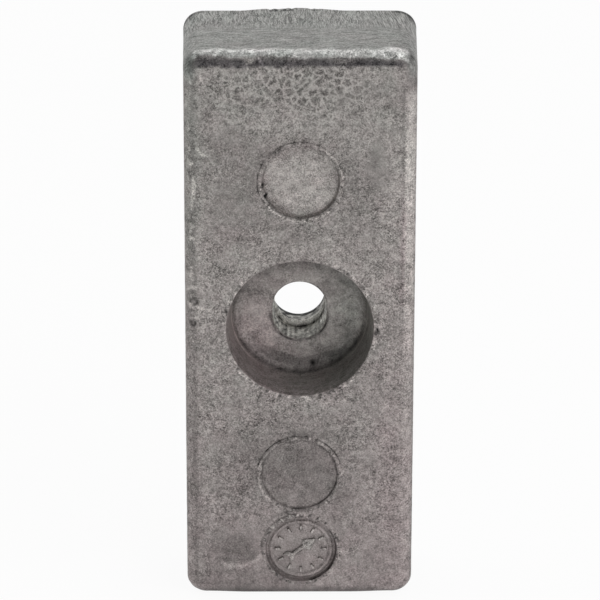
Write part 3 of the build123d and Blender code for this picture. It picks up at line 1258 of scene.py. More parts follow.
    def weld(self) -> bpy.types.Object:
        """Joins the patches into one closed mesh, with a mask attribute for each finish.

        Returns:
            The mesh object, in metres.
        """
        patches = [self.front_skin(), self.edge_band(), *self.bolt_seat(), self.mounting_face()]
        points, faces, masks, start = [], [], {name: [] for name in MASKS}, 0
        for patch in patches:
            points.append(patch.points)
            faces.extend((patch.faces + start).tolist())
            for name in MASKS:
                masks[name].append(patch.masks.get(name, np.zeros(len(patch.points))))
            start += len(patch.points)
        places = np.concatenate(points)
        places[:, 2] += self.foot_wear(places)
        _, first, same = np.unique(np.round(places, 4), axis=0, return_index=True, return_inverse=True)
        same = same.ravel()
        merged = [[int(same[v]) for v in face] for face in faces]
        merged = [face for face in merged if len(set(face)) == len(face)]
        mesh = bpy.data.meshes.new(PIECE)
        mesh.from_pydata((places[first] * MM).tolist(), [], merged)
        layers = WeatheringAndPaintedLight(self.sizes).masks(places[first])
        for name in MASKS:
            layers[name] = np.zeros(len(first))
            np.maximum.at(layers[name], same, np.concatenate(masks[name]))
        for name, values in layers.items():
            layer = mesh.attributes.new(name, "FLOAT", "POINT")
            layer.data.foreach_set("value", values.astype(np.float32))
        piece = bpy.data.objects.new(PIECE, mesh)
        bpy.context.scene.collection.objects.link(piece)
        turn_outwards(piece)
        return piece

    def foot_wear(self, places: np.ndarray) -> np.ndarray:
        """How far the foot's two front corners have been knocked up."""
        s = self.sizes
        outer = smooth_step(7.0, 12.5, np.abs(places[:, 0])) * smooth_step(15.6, 13.0, np.abs(places[:, 0]))
        front = smooth_step(s.back_y - 3.0, s.front_y + 2.0, places[:, 1])
        return s.foot_wear * outer * front * smooth_step(3.0, 0.0, places[:, 2])


def turn_outwards(piece: bpy.types.Object) -> None:
    """Makes a closed mesh's faces point outwards and shades it smooth."""
    mesh = bmesh.new()
    mesh.from_mesh(piece.data)
    bmesh.ops.recalc_face_normals(mesh, faces=mesh.faces)
    open_edges = sum(1 for edge in mesh.edges if len(edge.link_faces) != 2)
    log.info("%s: %d open edges", piece.name, open_edges)
    mesh.to_mesh(piece.data)
    mesh.free()
    piece.data.shade_smooth()
    piece.data.set_sharp_from_angle(angle=math.radians(58))


# ---------------------------------------------------------------- nodes


def add_node(
    tree: bpy.types.NodeTree, kind: str, inputs: "dict | tuple" = (), output: int = 0, **settings: object
) -> bpy.types.NodeSocket:
    """Adds a node to a tree, with its settings, numbers and links.

    Args:
        tree: the shader or geometry tree.
        kind: the node's type name, in which ShaderNode may be left out.
        inputs: a number, colour or other node's output for each input, in their order or by name.
        output: which of the node's outputs to give back.
        **settings: the node's own settings, such as a Math node's operation.

    Returns:
        The output socket, ready to go into another node.
    """
    node = tree.nodes.new(kind if "Node" in kind else f"ShaderNode{kind}")
    for name, setting in settings.items():
        setattr(node, name, setting)
    for name, value in inputs.items() if isinstance(inputs, dict) else enumerate(inputs):
        if isinstance(value, bpy.types.NodeSocket):
            tree.links.new(value, node.inputs[name])
        else:
            node.inputs[name].default_value = value
    return node.outputs[output]


# ---------------------------------------------------------------- finishes


@dataclass(frozen=True)
class Tone:
    """One finish of the metal: its dark and light colours, and how rough each is."""

    dark: str
    light: str
    dark_roughness: float
    light_roughness: float


class Finish(Enum):
    """The finishes of the casting, from the mould's skin to ground and rubbed metal."""

    # Die-cast skin, oxidised in store: dull grey, finely speckled, a little pink in places.
    CAST = Tone("#5f5c5a", "#c6c1be", 0.66, 0.48)
    # Gate end ground on a belt: cleaner, cooler metal with fine scratches.
    GROUND = Tone("#5f605e", "#b2b3b0", 0.58, 0.42)
    # The soft edge where the belt rolled the metal over: rubbed bright and lumpy, its light colour partly a
    # painted highlight.
    BURNISH_AND_HIGHLIGHT = Tone("#7d7e7c", "#f0f0ee", 0.46, 0.28)
    # Fold under the rolled edge: oxide and dirt, and a painted dark reflection where the rounded edge turns
    # to the front.
    LAP_AND_DARK_REFLECTION = Tone("#323032", "#7d797a", 0.66, 0.52)
    # Cored seat: dark, smooth skin that nothing has rubbed.
    SEAT = Tone("#706b6a", "#c6c0bd", 0.66, 0.52)


@dataclass(frozen=True)
class Pattern:
    """Real sizes of the metal's patterns, in millimetres."""

    speck: float = 0.21
    patch: float = 0.9
    fleck: float = 0.62
    mottle: float = 2.3
    cloud: float = 6.5
    cell: float = 1.15
    scratch: float = 0.16
    striation: float = 0.35
    bump: float = 0.05


class CastMetal:
    """The block's metal: one casting, with a finish for each way its skin was treated."""

    def __init__(self, sizes: BlockSizes, pattern: Pattern = Pattern()) -> None:
        """Starts the material and the coordinates that every pattern shares.

        Args:
            sizes: the block's sizes, for the patterns that turn about the bolt's axis.
            pattern: sizes of the patterns.
        """
        self.sizes = sizes
        self.pattern = pattern
        self.material = bpy.data.materials.new(SLOT)
        self.material.use_nodes = True
        self.tree = self.material.node_tree
        self.tree.nodes.clear()
        self.add = partial(add_node, self.tree)
        place = self.add("TexCoord", output=3)
        self.mm = self.add("VectorMath", {0: place, "Scale": 1 / MM}, operation="SCALE")

    def mask(self, name: str) -> bpy.types.NodeSocket:
        """One of the finish masks that the mesh carries."""
        return self.add("Attribute", output=2, attribute_name=name)

    def noise(
        self,
        size: float,
        detail: float,
        stretch: tuple = (1, 1, 1),
        shift: float = 0.0,
        vector: Optional[bpy.types.NodeSocket] = None,
        turn: float = 0.0,
    ) -> bpy.types.NodeSocket:
        """Noise centred on zero, from about -1 to 1.

        Args:
            size: size of its blobs in millimetres.
            detail: how many finer layers it has.
            stretch: how many times longer the blobs are along each axis.
            shift: moves it, so that two noises differ.
            vector: coordinates in millimetres, where they aren't the object's own.
            turn: turns it about the upright axis, in degrees.

        Returns:
            The value's socket.
        """
        place = {
            "Vector": vector or self.mm,
            "Location": (shift, shift * 0.7, -shift),
            "Rotation": (0.0, 0.0, math.radians(turn)),
            "Scale": tuple(size * s for s in stretch),
        }
        moved = self.add("Mapping", place, vector_type="TEXTURE")
        value = self.add("TexNoise", {"Vector": moved, "Scale": 1.0, "Detail": detail, "Roughness": 0.6})
        return self.add("MapRange", (value, 0.25, 0.75, -1.0, 1.0), clamp=False)

    def sum_of(self, *terms: tuple) -> bpy.types.NodeSocket:
        """Adds up values, each times its own factor.

        Args:
            *terms: pairs of a value's socket and a factor, or just a number.

        Returns:
            The total's socket.
        """
        total: object = 0.0
        for value, factor in terms:
            total = self.add("Math", (value, factor, total), operation="MULTIPLY_ADD")
        return total

    def blend(self, factor: object, first: object, second: object) -> bpy.types.NodeSocket:
        """Goes from the first colour to the second as the factor goes from 0 to 1."""
        return self.add("Mix", {0: factor, 6: first, 7: second}, output=2, data_type="RGBA")

    # -- tones, each about 0.5 in the middle

    def speckle(self) -> bpy.types.NodeSocket:
        """Fine specks and curled flecks of the cast skin, weaker where the skin is calm."""
        p = self.pattern
        rough = self.add("MapRange", (self.noise(3.6, 2.0, shift=77.0), -0.8, 0.9, 0.7, 1.3))
        fine = self.sum_of((self.noise(p.speck, 1.5), 0.36), (self.noise(p.patch, 3.0, shift=13.0), 0.26))
        curl = self.add("Math", (self.noise(p.fleck, 2.0, shift=17.0),), operation="ABSOLUTE")
        flecks = self.add("MapRange", (curl, 0.01, 0.09, 0.40, -0.05))
        fine = self.sum_of((fine, 1.0), (flecks, self.sum_of((rough, 1.0), (self.mask("fleck"), 1.1))))
        calm = self.add("MapRange", (self.mask("calm"), 0.0, 1.0, 1.0, 0.35))
        calm = self.add("Math", (calm, rough), operation="MULTIPLY")
        return self.add("Math", (fine, calm), operation="MULTIPLY")

    def clouds(self) -> bpy.types.NodeSocket:
        """Soft patches of lighter and darker oxide, a few millimetres across."""
        p = self.pattern
        return self.sum_of(
            (self.noise(p.mottle, 3.0, shift=5.0), 0.13),
            (self.noise(p.cloud, 3.0, shift=31.0), 0.09),
        )

    def veins(self) -> bpy.types.NodeSocket:
        """Light seams between dark rounded cells, where the metal froze in ferns."""
        p = self.pattern
        bent = self.bent(0.5, 0.8)
        seams = self.add(
            "TexVoronoi",
            {"Vector": bent, "Scale": 1 / p.cell, "Randomness": 1.0},
            feature="DISTANCE_TO_EDGE",
        )
        shaped = self.add("MapRange", (seams, 0.01, 0.24, 0.27, -0.20), interpolation_type="SMOOTHSTEP")
        return self.add("Math", (shaped, self.mask("vein")), operation="MULTIPLY")

    def scratches(self) -> bpy.types.NodeSocket:
        """Belt marks: front to back near the mounting face, across nearer the front, one corner slant."""
        p = self.pattern
        bent = self.bent(0.5, 1.6)
        back = self.sum_of(
            (self.noise(p.scratch * 0.8, 2.0, (1, 9, 7), 3.0, bent), 1.25),
            (self.noise(p.scratch * 1.1, 2.0, shift=33.0), 0.7),
        )
        across = self.sum_of(
            (self.noise(p.scratch, 2.0, (14, 1, 5), 9.0, bent), 0.7),
            (self.noise(p.scratch * 1.6, 3.0, shift=43.0), 0.6),
        )
        slant = self.sum_of(
            (self.noise(p.scratch * 0.9, 1.5, (1, 12, 9), 15.0, turn=14.0), 1.15),
            (self.noise(p.scratch, 2.0, shift=53.0), 0.6),
        )
        edges = self.bent(1.2, 1.5)
        deep = self.add("SeparateXYZ", (edges,), output=1)
        right = self.add("SeparateXYZ", (edges,), output=0)
        where = self.add("MapRange", (deep, 0.6, 2.6, 0.0, 1.0))
        corner = self.add("MapRange", (right, 7.5, 11.0, 0.0, 1.0))
        corner = self.add("Math", (corner, where), operation="MULTIPLY")
        plain = self.add("Mix", {0: where, 2: across, 3: back}, data_type="FLOAT")
        return self.add("Mix", {0: corner, 2: plain, 3: slant}, data_type="FLOAT")

    def bent(self, by: float, size: float) -> bpy.types.NodeSocket:
        """The coordinates pushed about by so many millimetres, so that lines and edges wander."""
        wander = self.add("TexNoise", {"Vector": self.mm, "Scale": 1 / size, "Detail": 2.0}, output=1)
        middle = self.add("VectorMath", (wander, (0.5, 0.5, 0.5)), operation="SUBTRACT")
        return self.add("VectorMath", (middle, (2 * by,) * 3, self.mm), operation="MULTIPLY_ADD")

    def striations(self) -> bpy.types.NodeSocket:
        """Fine rings round the seat's wall, left by the core pin."""
        p = self.pattern
        centred = self.add("VectorMath", (self.mm, (0.0, 0.0, -self.sizes.bolt_height)), operation="ADD")
        flat = self.add("VectorMath", (centred, (1.0, 0.0, 1.0)), operation="MULTIPLY")
        toward = self.add("VectorMath", (flat,), operation="NORMALIZE")
        deep = self.add("VectorMath", (self.mm, (0.0, 1 / p.striation, 0.0)), operation="MULTIPLY")
        turned = self.add("VectorMath", (toward, (2.2, 0.0, 2.2), deep), operation="MULTIPLY_ADD")
        return self.noise(1.0, 2.0, vector=turned)

    # -- putting the finishes together

    def dressed(self, finish: Finish, tone: bpy.types.NodeSocket) -> tuple:
        """Colour and roughness of one finish, by its tone."""
        look = finish.value
        colour = self.blend(tone, linear(look.dark), linear(look.light))
        rough = self.add("MapRange", (tone, 0.0, 1.0, look.dark_roughness, look.light_roughness))
        return colour, rough

    def over(self, mask: bpy.types.NodeSocket, under: tuple, top: tuple) -> tuple:
        """Lays one finish over another where its mask is 1."""
        rough = self.add("Mix", {0: mask, 2: under[1], 3: top[1]}, data_type="FLOAT")
        return self.blend(mask, under[0], top[0]), rough

    def build(self) -> bpy.types.Material:
        """Links everything up.

        Returns:
            The finished material.
        """
        speckle, clouds = self.speckle(), self.clouds()
        scratches, striations = self.scratches(), self.striations()
        lumps = self.noise(0.9, 3.0, shift=23.0)
        half = 0.5
        cast = self.sum_of((speckle, 1.0), (clouds, 1.0), (self.veins(), 1.0), (half, 1.0))
        ground = self.sum_of((scratches, 0.60), (speckle, 0.24), (clouds, 0.7), (half, 1.0))
        burnish_and_highlight = self.sum_of((lumps, 0.35), (speckle, 1.1), (half, 1.0))
        lap_and_dark_reflection = self.sum_of((speckle, 0.9), (lumps, 0.35), (0.40, 1.0))
        seat = self.sum_of((speckle, 0.8), (striations, 0.14), (clouds, 1.1), (half, 1.0))
        look = self.dressed(Finish.CAST, cast)
        look = self.over(self.mask("seat"), look, self.dressed(Finish.SEAT, seat))
        look = self.over(self.mask("ground"), look, self.dressed(Finish.GROUND, ground))
        # Dark band under the rounded edge: partly a fold, partly a painted dark reflection
        look = self.over(self.mask("lap_and_dark_reflection"), look, self.dressed(Finish.LAP_AND_DARK_REFLECTION, lap_and_dark_reflection))
        # Bright band on the rounded edge: rubbed metal and a painted highlight
        look = self.over(self.mask("burnish_and_highlight"), look, self.dressed(Finish.BURNISH_AND_HIGHLIGHT, burnish_and_highlight))
        colour, rough = look
        # Stains and painted light and shade scale the colour
        shade = self.add("MapRange", (self.mask("stain"), -1.0, 1.0, 0.2, 1.8), clamp=False)
        colour = self.add("VectorMath", {0: colour, "Scale": shade}, operation="SCALE")
        colour = self.blend_tint(colour)
        height = self.sum_of((speckle, 0.5), (clouds, 0.3), (scratches, 0.1))
        normal = self.add("Bump", {"Height": height, "Strength": 1.0, "Distance": self.pattern.bump * MM})
        shader = self.add(
            "BsdfPrincipled", {"Base Color": colour, "Metallic": 0.8, "Roughness": rough, "Normal": normal}
        )
        add_node_output(self.tree, "ShaderNodeOutputMaterial", shader)
        return self.material

    def blend_tint(self, colour: bpy.types.NodeSocket) -> bpy.types.NodeSocket:
        """Warms the metal towards pink, or cools it towards green, by the blush mask."""
        wander = self.noise(3.2, 2.0, shift=51.0)
        blush = self.sum_of((self.mask("blush"), 1.0), (wander, 0.35))
        tint = self.add(
            "Mix",
            {
                0: self.add("MapRange", (blush, -1.0, 1.0)),
                6: (0.955, 1.02, 0.985, 1.0),
                7: (1.06, 0.965, 0.99, 1.0),
            },
            output=2,
            data_type="RGBA",
        )
        return self.add("VectorMath", (colour, tint), operation="MULTIPLY")


# ---------------------------------------------------------------- what follows a rule


class RuleTree:
    """A Geometry Nodes tree with named inputs, run once and turned into plain mesh."""

    name = "rule"
    sizes: dict[str, float] = {}

    def __init__(self, material: bpy.types.Material) -> None:
        """Builds the tree.

        Args:
            material: what the finished mesh is made of.
        """
        self.tree = bpy.data.node_groups.new(self.name, "GeometryNodeTree")
        self.add = partial(add_node, self.tree)
        face = self.tree.interface
        face.new_socket("Geometry", in_out="INPUT", socket_type="NodeSocketGeometry")
        self.sockets = {}
        for name, default in self.sizes.items():
            kind = "NodeSocketInt" if isinstance(default, int) else "NodeSocketFloat"
            socket = face.new_socket(name, in_out="INPUT", socket_type=kind)
            socket.default_value = default
            self.sockets[name] = socket.identifier
        face.new_socket("Geometry", in_out="OUTPUT", socket_type="NodeSocketGeometry")
        self.given = self.tree.nodes.new("NodeGroupInput").outputs
        shape = self.shape()
        real = self.add("GeometryNodeRealizeInstances", (shape,))
        made = self.add("GeometryNodeSetMaterial", {0: real, "Material": material})
        self.tree.links.new(made, self.tree.nodes.new("NodeGroupOutput").inputs[0])

    def shape(self) -> bpy.types.NodeSocket:
        """Makes the geometry from the named inputs."""
        raise NotImplementedError

    def in_metres(self, name: str) -> bpy.types.NodeSocket:
        """One of the named inputs, turned from millimetres to metres."""
        return self.add("Math", (self.given[name], MM), operation="MULTIPLY")

    def run(self, piece: bpy.types.Object, **values: float) -> bpy.types.Mesh:
        """Runs the tree on a piece.

        Args:
            piece: what the tree takes in. It is left without a modifier.
            **values: inputs that differ from their defaults, spaces written as underscores.

        Returns:
            The result as a plain mesh.
        """
        modifier = piece.modifiers.new(self.name, "NODES")
        modifier.node_group = self.tree
        for name, value in values.items():
            modifier[self.sockets[name.replace("_", " ")]] = value
        evaluated = piece.evaluated_get(bpy.context.evaluated_depsgraph_get())
        mesh = bpy.data.meshes.new_from_object(evaluated)
        piece.modifiers.remove(modifier)
        return mesh


class SkinRelief(RuleTree):
    """Sinks the skin a little, unevenly, as a die-cast face is."""

    name = "skin_relief"
    sizes = {"Skin depth": 0.06, "Skin size": 0.7, "Dent depth": 0.05, "Dent size": 5.0, "Seed": 7}

    def shape(self) -> bpy.types.NodeSocket:
        """Moves each point inwards by two noises."""
        place = self.add("GeometryNodeInputPosition")
        depth: object = 0.0
        for kind in ("Skin", "Dent"):
            coarse = self.add("Math", (1 / MM, self.given[f"{kind} size"]), operation="DIVIDE")
            noise = self.add(
                "TexNoise",
                {"Vector": place, "W": self.given["Seed"], "Scale": coarse, "Detail": 2.0},
                noise_dimensions="4D",
            )
            level = self.add("MapRange", (noise, 0.3, 0.7))
            depth = self.add(
                "Math", (level, self.in_metres(f"{kind} depth"), depth), operation="MULTIPLY_ADD"
            )
        even = self.add("GeometryNodeInputNamedAttribute", {"Name": "plain"}, data_type="FLOAT")
        share = self.add("Math", (1.0, even), operation="SUBTRACT")
        inward = self.add("Math", (depth, share), operation="MULTIPLY")
        inward = self.add("Math", (inward, -1.0), operation="MULTIPLY")
        normal = self.add("GeometryNodeInputNormal")
        offset = self.add("VectorMath", {0: normal, "Scale": inward}, operation="SCALE")
        return self.add("GeometryNodeSetPosition", {0: self.given["Geometry"], "Offset": offset})


class FlashCrumbs(RuleTree):
    """Crumbs of broken flash round a ring on the front face."""

    name = "flash_crumbs"
    sizes = {
        "Across": 0.0,
        "Up": 0.0,
        "Front": 0.0,
        "Radius": 5.3,
        "Crumb size": 0.2,
        "Scatter": 0.14,
        "Kept share": 0.7,
        "Crumbs": 90,
        "Seed": 1,
    }

    def shape(self) -> bpy.types.NodeSocket:
        """Sets flattened crumbs on a ring, turned, sized and left out at random."""
        given = self.given
        ring = self.add(
            "GeometryNodeMeshCircle", {"Vertices": given["Crumbs"], "Radius": self.in_metres("Radius")}
        )
        centre = self.add(
            "CombineXYZ", (self.in_metres("Across"), self.in_metres("Front"), self.in_metres("Up"))
        )
        stood = self.add(
            "GeometryNodeTransform", {0: ring, "Translation": centre, "Rotation": (math.pi / 2, 0.0, 0.0)}
        )
        spread = self.in_metres("Scatter")
        less = self.add("Math", (spread, -1.0), operation="MULTIPLY")
        low = self.add("CombineXYZ", (less, 0.0, less))
        high = self.add("CombineXYZ", (spread, 0.0, spread))
        jitter = self.add(
            "FunctionNodeRandomValue",
            {"Min": low, "Max": high, "Seed": given["Seed"]},
            data_type="FLOAT_VECTOR",
        )
        strewn = self.add("GeometryNodeSetPosition", {0: stood, "Offset": jitter})
        crumb = self.add(
            "GeometryNodeMeshUVSphere", {"Segments": 7, "Rings": 4, "Radius": self.in_metres("Crumb size")}
        )
        turned = self.add(
            "FunctionNodeRandomValue",
            {"Min": (0.0, 0.0, 0.0), "Max": (0.0, 6.28, 0.0), "Seed": given["Seed"]},
            data_type="FLOAT_VECTOR",
        )
        grown = self.add(
            "FunctionNodeRandomValue",
            {"Min": (0.5, 0.30, 0.35), "Max": (2.0, 0.75, 0.95), "Seed": given["Seed"]},
            data_type="FLOAT_VECTOR",
        )
        chance = {"Probability": given["Kept share"], "Seed": given["Seed"]}
        kept = self.add("FunctionNodeRandomValue", chance, output=3, data_type="BOOLEAN")
        crumbs = self.add(
            "GeometryNodeInstanceOnPoints",
            {"Points": strewn, "Selection": kept, "Instance": crumb, "Rotation": turned, "Scale": grown},
        )
        tone = self.add(
            "FunctionNodeRandomValue",
            {2: -0.75, 3: 0.65, "Seed": given["Seed"]},
            output=1,
            data_type="FLOAT",
        )
        return self.add(
            "GeometryNodeStoreNamedAttribute",
            {"Geometry": crumbs, "Name": "stain", "Value": tone},
            data_type="FLOAT",
            domain="INSTANCE",
        )


class FoundryDial(RuleTree):
    """A plain dial in an insert's disc: raised ticks round its rim, with no writing."""

    name = "foundry_dial"
    sizes = {
        "Across": 0.0,
        "Up": 0.0,
        "Floor": 0.0,
        "Radius": 3.15,
        "Tick length": 0.42,
        "Tick width": 0.16,
        "Tick height": 0.24,
        "Ticks": 12,
    }

    def shape(self) -> bpy.types.NodeSocket:
        """Sets drafted ticks round the dial, each pointing at its middle."""
        given = self.given
        ring = self.add(
            "GeometryNodeMeshCircle", {"Vertices": given["Ticks"], "Radius": self.in_metres("Radius")}
        )
        root_two = math.sqrt(2)
        block = self.add(
            "GeometryNodeMeshCone",
            {
                "Vertices": 4,
                "Side Segments": 2,
                "Radius Top": 0.72 * root_two,
                "Radius Bottom": root_two,
                "Depth": 1.2,
            },
        )
        tick = self.add(
            "GeometryNodeTransform",
            {0: block, "Translation": (0.0, 0.0, -0.2), "Rotation": (0.0, 0.0, math.pi / 4)},
        )
        height = self.add("SeparateXYZ", (self.add("GeometryNodeInputPosition"),), output=2)
        # Painted shade at each tick's foot and painted light on its top
        painted_shading = self.add("MapRange", (height, 0.3, 0.9, -0.55, 0.30))
        tick = self.add(
            "GeometryNodeStoreNamedAttribute",
            {"Geometry": tick, "Name": "stain", "Value": painted_shading},
            data_type="FLOAT",
        )
        size = self.add(
            "CombineXYZ",
            (self.in_metres("Tick length"), self.in_metres("Tick width"), self.in_metres("Tick height")),
        )
        place = self.add("GeometryNodeInputPosition")
        facing = self.add("FunctionNodeAlignRotationToVector", {"Vector": place}, axis="X", pivot_axis="Z")
        set_out = self.add(
            "GeometryNodeInstanceOnPoints",
            {"Points": ring, "Instance": tick, "Rotation": facing, "Scale": size},
        )
        centre = self.add(
            "CombineXYZ", (self.in_metres("Across"), self.in_metres("Floor"), self.in_metres("Up"))
        )
        return self.add(
            "GeometryNodeTransform",
            {0: set_out, "Translation": centre, "Rotation": (math.pi / 2, 0.0, 0.0)},
        )


class DialPointer:
    """The dial's raised arrow, a plain rounded pointer with a short tail."""

    def __init__(self, across: float, up: float, floor: float, turn: float = 38.0) -> None:
        """Sets where the pointer sits.

        Args:
            across: middle of the dial.
            up: middle of the dial.
            floor: the disc's floor, along Y.
            turn: the way it points, in degrees anticlockwise from +X.
        """
        self.middle = (across, floor, up)
        self.turn = math.radians(turn)

    def mesh(self) -> bpy.types.Mesh:
        """Builds the arrow as a low pillow: an outline that rises to a ridge."""
        outline = [
            (2.5, 0.0), (0.9, 1.05), (0.9, 0.38), (-1.4, 0.32), (-1.9, 0.85), (-2.5, 0.85), (-2.1, 0.0),
            (-2.5, -0.85), (-1.9, -0.85), (-1.4, -0.32), (0.9, -0.38), (0.9, -1.05),
        ]
        # Each level's last number paints shade low on the arrow and light on its ridge
        levels = ((1.0, -0.10, -0.5), (0.98, 0.02, -0.5), (0.88, 0.20, 0.1), (0.10, 0.34, 0.4))
        points, faces, count = [], [], len(outline)
        cos, sin = math.cos(self.turn), math.sin(self.turn)
        tones = [tone for _, _, tone in levels for _ in outline]
        for scale, height, _ in levels:
            for along, side in outline:
                inset = side * scale
                reach = along * (0.55 + 0.45 * scale)
                x, z = reach * cos - inset * sin, reach * sin + inset * cos
                points.append((self.middle[0] + x, self.middle[1] - height, self.middle[2] + z))
        for row in range(len(levels) - 1):
            for step in range(count):
                after = (step + 1) % count
                low, high = row * count, (row + 1) * count
                faces.append((low + step, low + after, high + after, high + step))
        faces.append(tuple(range((len(levels) - 1) * count, len(levels) * count)))
        faces.append(tuple(reversed(range(count))))
        mesh = bpy.data.meshes.new("dial_pointer")
        mesh.from_pydata([tuple(c * MM for c in p) for p in points], [], faces)
        mesh.attributes.new("stain", "FLOAT", "POINT").data.foreach_set("value", tones)
        return mesh


class Details:
    """Everything small that stands on the block's skin."""

    def __init__(self, sizes: BlockSizes, material: bpy.types.Material) -> None:
        """Keeps what each detail needs.

        Args:
            sizes: the block's sizes.
            material: the block's metal.
        """
        self.sizes = sizes
        self.material = material

    def grow_on(self, casting: bpy.types.Object) -> None:
        """Gives the casting its relief, its broken flash and the plain dial.

        Args:
            casting: the block, whose mesh is changed.
        """
        casting.data = SkinRelief(self.material).run(casting)
        seed_piece = bpy.data.objects.new("seed", bpy.data.meshes.new("seed"))
        bpy.context.scene.collection.objects.link(seed_piece)
        s = self.sizes
        crumbs = FlashCrumbs(self.material)
        made = [
            crumbs.run(
                seed_piece,
                Across=mark.across,
                Up=mark.up,
                Front=s.front_y + 0.03,
                Radius=mark.ring_radius(),
                Crumbs=110,
                Seed=mark.seed,
            )
            for mark in s.marks
        ]
        made.append(
            crumbs.run(
                seed_piece,
                Up=s.bolt_height,
                Front=s.front_y + 0.05,
                Radius=s.mouth_radius + 0.12,
                Crumb_size=0.14,
                Scatter=0.10,
                Kept_share=0.35,
                Crumbs=180,
                Seed=5,
            )
        )
        mark = s.marks[-1]
        floor = s.front_y + mark.depth
        dial = FoundryDial(self.material)
        made.append(dial.run(seed_piece, Across=mark.across, Up=mark.up, Floor=floor))
        made.append(DialPointer(mark.across, mark.up, floor).mesh())
        bpy.data.objects.remove(seed_piece)
        self.join(casting, made)
        log.info("details: %d small parts' meshes joined on", len(made))

    def join(self, casting: bpy.types.Object, meshes: list[bpy.types.Mesh]) -> None:
        """Adds meshes to the casting's own, as parts of one piece."""
        parts = []
        for mesh in meshes:
            if not mesh.materials:
                mesh.materials.append(self.material)
            part = bpy.data.objects.new(mesh.name, mesh)
            bpy.context.scene.collection.objects.link(part)
            parts.append(part)
        with bpy.context.temp_override(
            active_object=casting, selected_editable_objects=[casting, *parts], object=casting
        ):
            bpy.ops.object.join()
        turn_outwards(casting)


# ---------------------------------------------------------------- studio


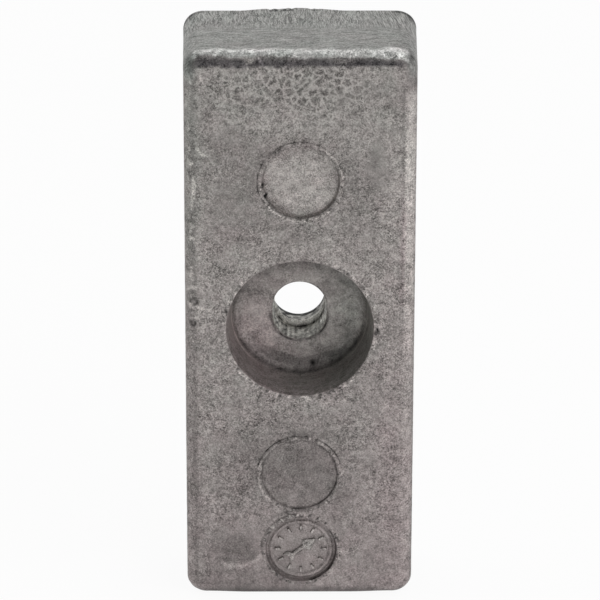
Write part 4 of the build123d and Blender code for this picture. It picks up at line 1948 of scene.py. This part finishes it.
@dataclass(frozen=True)
class Studio:
    """A pale floor, plain soft lamps and the camera."""

    elevation: float = 24.4
    azimuth: float = -0.49
    roll: float = 0.126
    distance: float = 620.3
    pixels_per_mm: float = 7.4746
    picture: float = 600.0
    aim_up: float = 3.66
    floor_size: float = 60.0
    floor_white: float = 0.93
    sky: float = 1.05
    sky_front: float = 0.32
    key_power: float = 7.0
    key_size: float = 1.1
    key_distance: float = 1.3

    def floor(self) -> None:
        """Lays a large pale floor that shows white and still takes the block's shadow."""
        half = self.floor_size / 2
        mesh = bpy.data.meshes.new("floor")
        corners = [(-half, -half, 0), (half, -half, 0), (half, half, 0), (-half, half, 0)]
        mesh.from_pydata(corners, [], [(0, 1, 2, 3)])
        floor = bpy.data.objects.new("floor", mesh)
        bpy.context.scene.collection.objects.link(floor)
        material = bpy.data.materials.new("pale_floor")
        material.use_nodes = True
        tree = material.node_tree
        tree.nodes.clear()
        shown = self.seen_rays(tree)
        paper = add_node(tree, "BsdfDiffuse", {"Color": (0.8, 0.8, 0.8, 1)})
        white = add_node(tree, "Emission", {"Color": (1, 1, 1, 1), "Strength": 1.0})
        share = add_node(tree, "Math", (shown, self.floor_white), operation="MULTIPLY")
        mixed = add_node(tree, "MixShader", (share, paper, white))
        add_node_output(tree, "ShaderNodeOutputMaterial", mixed)
        mesh.materials.append(material)

    def seen_rays(self, tree: bpy.types.NodeTree) -> bpy.types.NodeSocket:
        """1 for camera, glossy and transmission rays, which show the background white."""
        rays = tree.nodes.new("ShaderNodeLightPath")
        first = add_node(
            tree,
            "Math",
            (rays.outputs["Is Camera Ray"], rays.outputs["Is Glossy Ray"]),
            operation="MAXIMUM",
        )
        return add_node(tree, "Math", (first, rays.outputs["Is Transmission Ray"]), operation="MAXIMUM")

    def sky_light(self) -> None:
        """Lights everything from a pale room that is brightest above and behind."""
        world = bpy.data.worlds.new("room")
        world.use_nodes = True
        tree = world.node_tree
        tree.nodes.clear()
        way = add_node(tree, "TexCoord", output=0)
        lean = add_node(tree, "VectorMath", (way, (0.0, 0.93, 0.37)), output=1, operation="DOT_PRODUCT")
        strength = add_node(
            tree, "MapRange", (lean, -0.15, 0.6, self.sky_front, self.sky), interpolation_type="SMOOTHSTEP"
        )
        light = add_node(tree, "Background", {"Color": (1, 1, 1, 1), "Strength": strength})
        add_node_output(tree, "ShaderNodeOutputWorld", light)
        bpy.context.scene.world = world

    def key_light(self) -> None:
        """Hangs one large soft lamp in front, above and to the right."""
        data = bpy.data.lights.new("key", "AREA")
        data.energy = self.key_power
        data.size = self.key_size
        lamp = bpy.data.objects.new("key", data)
        middle = Vector((0, 0, 0.04))
        away = Vector((0.62, -0.55, 0.62)).normalized()
        turned = away.to_track_quat("Z", "Y").to_matrix().to_4x4()
        lamp.matrix_world = Matrix.Translation(middle + away * self.key_distance) @ turned
        bpy.context.scene.collection.objects.link(lamp)

    def camera(self, sizes: BlockSizes) -> None:
        """Stands the camera in front of the block and a little above it."""
        target = Vector((0, sizes.front_y, sizes.length / 2)) * MM
        up_angle, side = math.radians(self.elevation), math.radians(self.azimuth)
        view = Vector(
            (-math.sin(side) * math.cos(up_angle), math.cos(side) * math.cos(up_angle), -math.sin(up_angle))
        )
        right = view.cross(Vector((0, 0, 1))).normalized()
        up = right.cross(view)
        place = target - view * self.distance * MM
        aim = target + up * self.aim_up * MM
        view = (aim - place).normalized()
        right = view.cross(Vector((0, 0, 1))).normalized()
        up = right.cross(view)
        turned = Matrix((right, up, -view)).transposed()
        data = bpy.data.cameras.new("camera")
        data.sensor_fit = "HORIZONTAL"
        data.sensor_width = 36.0
        data.lens = self.pixels_per_mm * self.distance / self.picture * data.sensor_width
        data.clip_start = 0.01
        camera = bpy.data.objects.new("camera", data)
        roll = Matrix.Rotation(math.radians(self.roll), 3, "Z")
        camera.matrix_world = Matrix.Translation(place) @ (turned @ roll).to_4x4()
        bpy.context.scene.collection.objects.link(camera)
        bpy.context.scene.camera = camera

    def set_up(self, sizes: BlockSizes) -> None:
        """Sets the floor, the light and the camera."""
        self.floor()
        self.sky_light()
        self.key_light()
        self.camera(sizes)
        bpy.context.scene.view_settings.view_transform = "Standard"


def add_node_output(tree: bpy.types.NodeTree, kind: str, surface: bpy.types.NodeSocket) -> None:
    """Ends a tree in its output node."""
    tree.links.new(surface, tree.nodes.new(kind).inputs["Surface"])


def main() -> None:
    """Builds the anode, dresses it and sets the studio."""
    logging.basicConfig(level=logging.INFO, format="%(name)s: %(message)s")
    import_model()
    sizes = BlockSizes.from_frame()
    casting = CastBlock(sizes).weld()
    metal = CastMetal(sizes).build()
    Details(sizes, metal).grow_on(casting)
    log.info("casting: %d faces", len(casting.data.polygons))
    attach(casting, BODY)
    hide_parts(NODE)
    Studio().set_up(sizes)


if __name__ == "__main__":
    main()
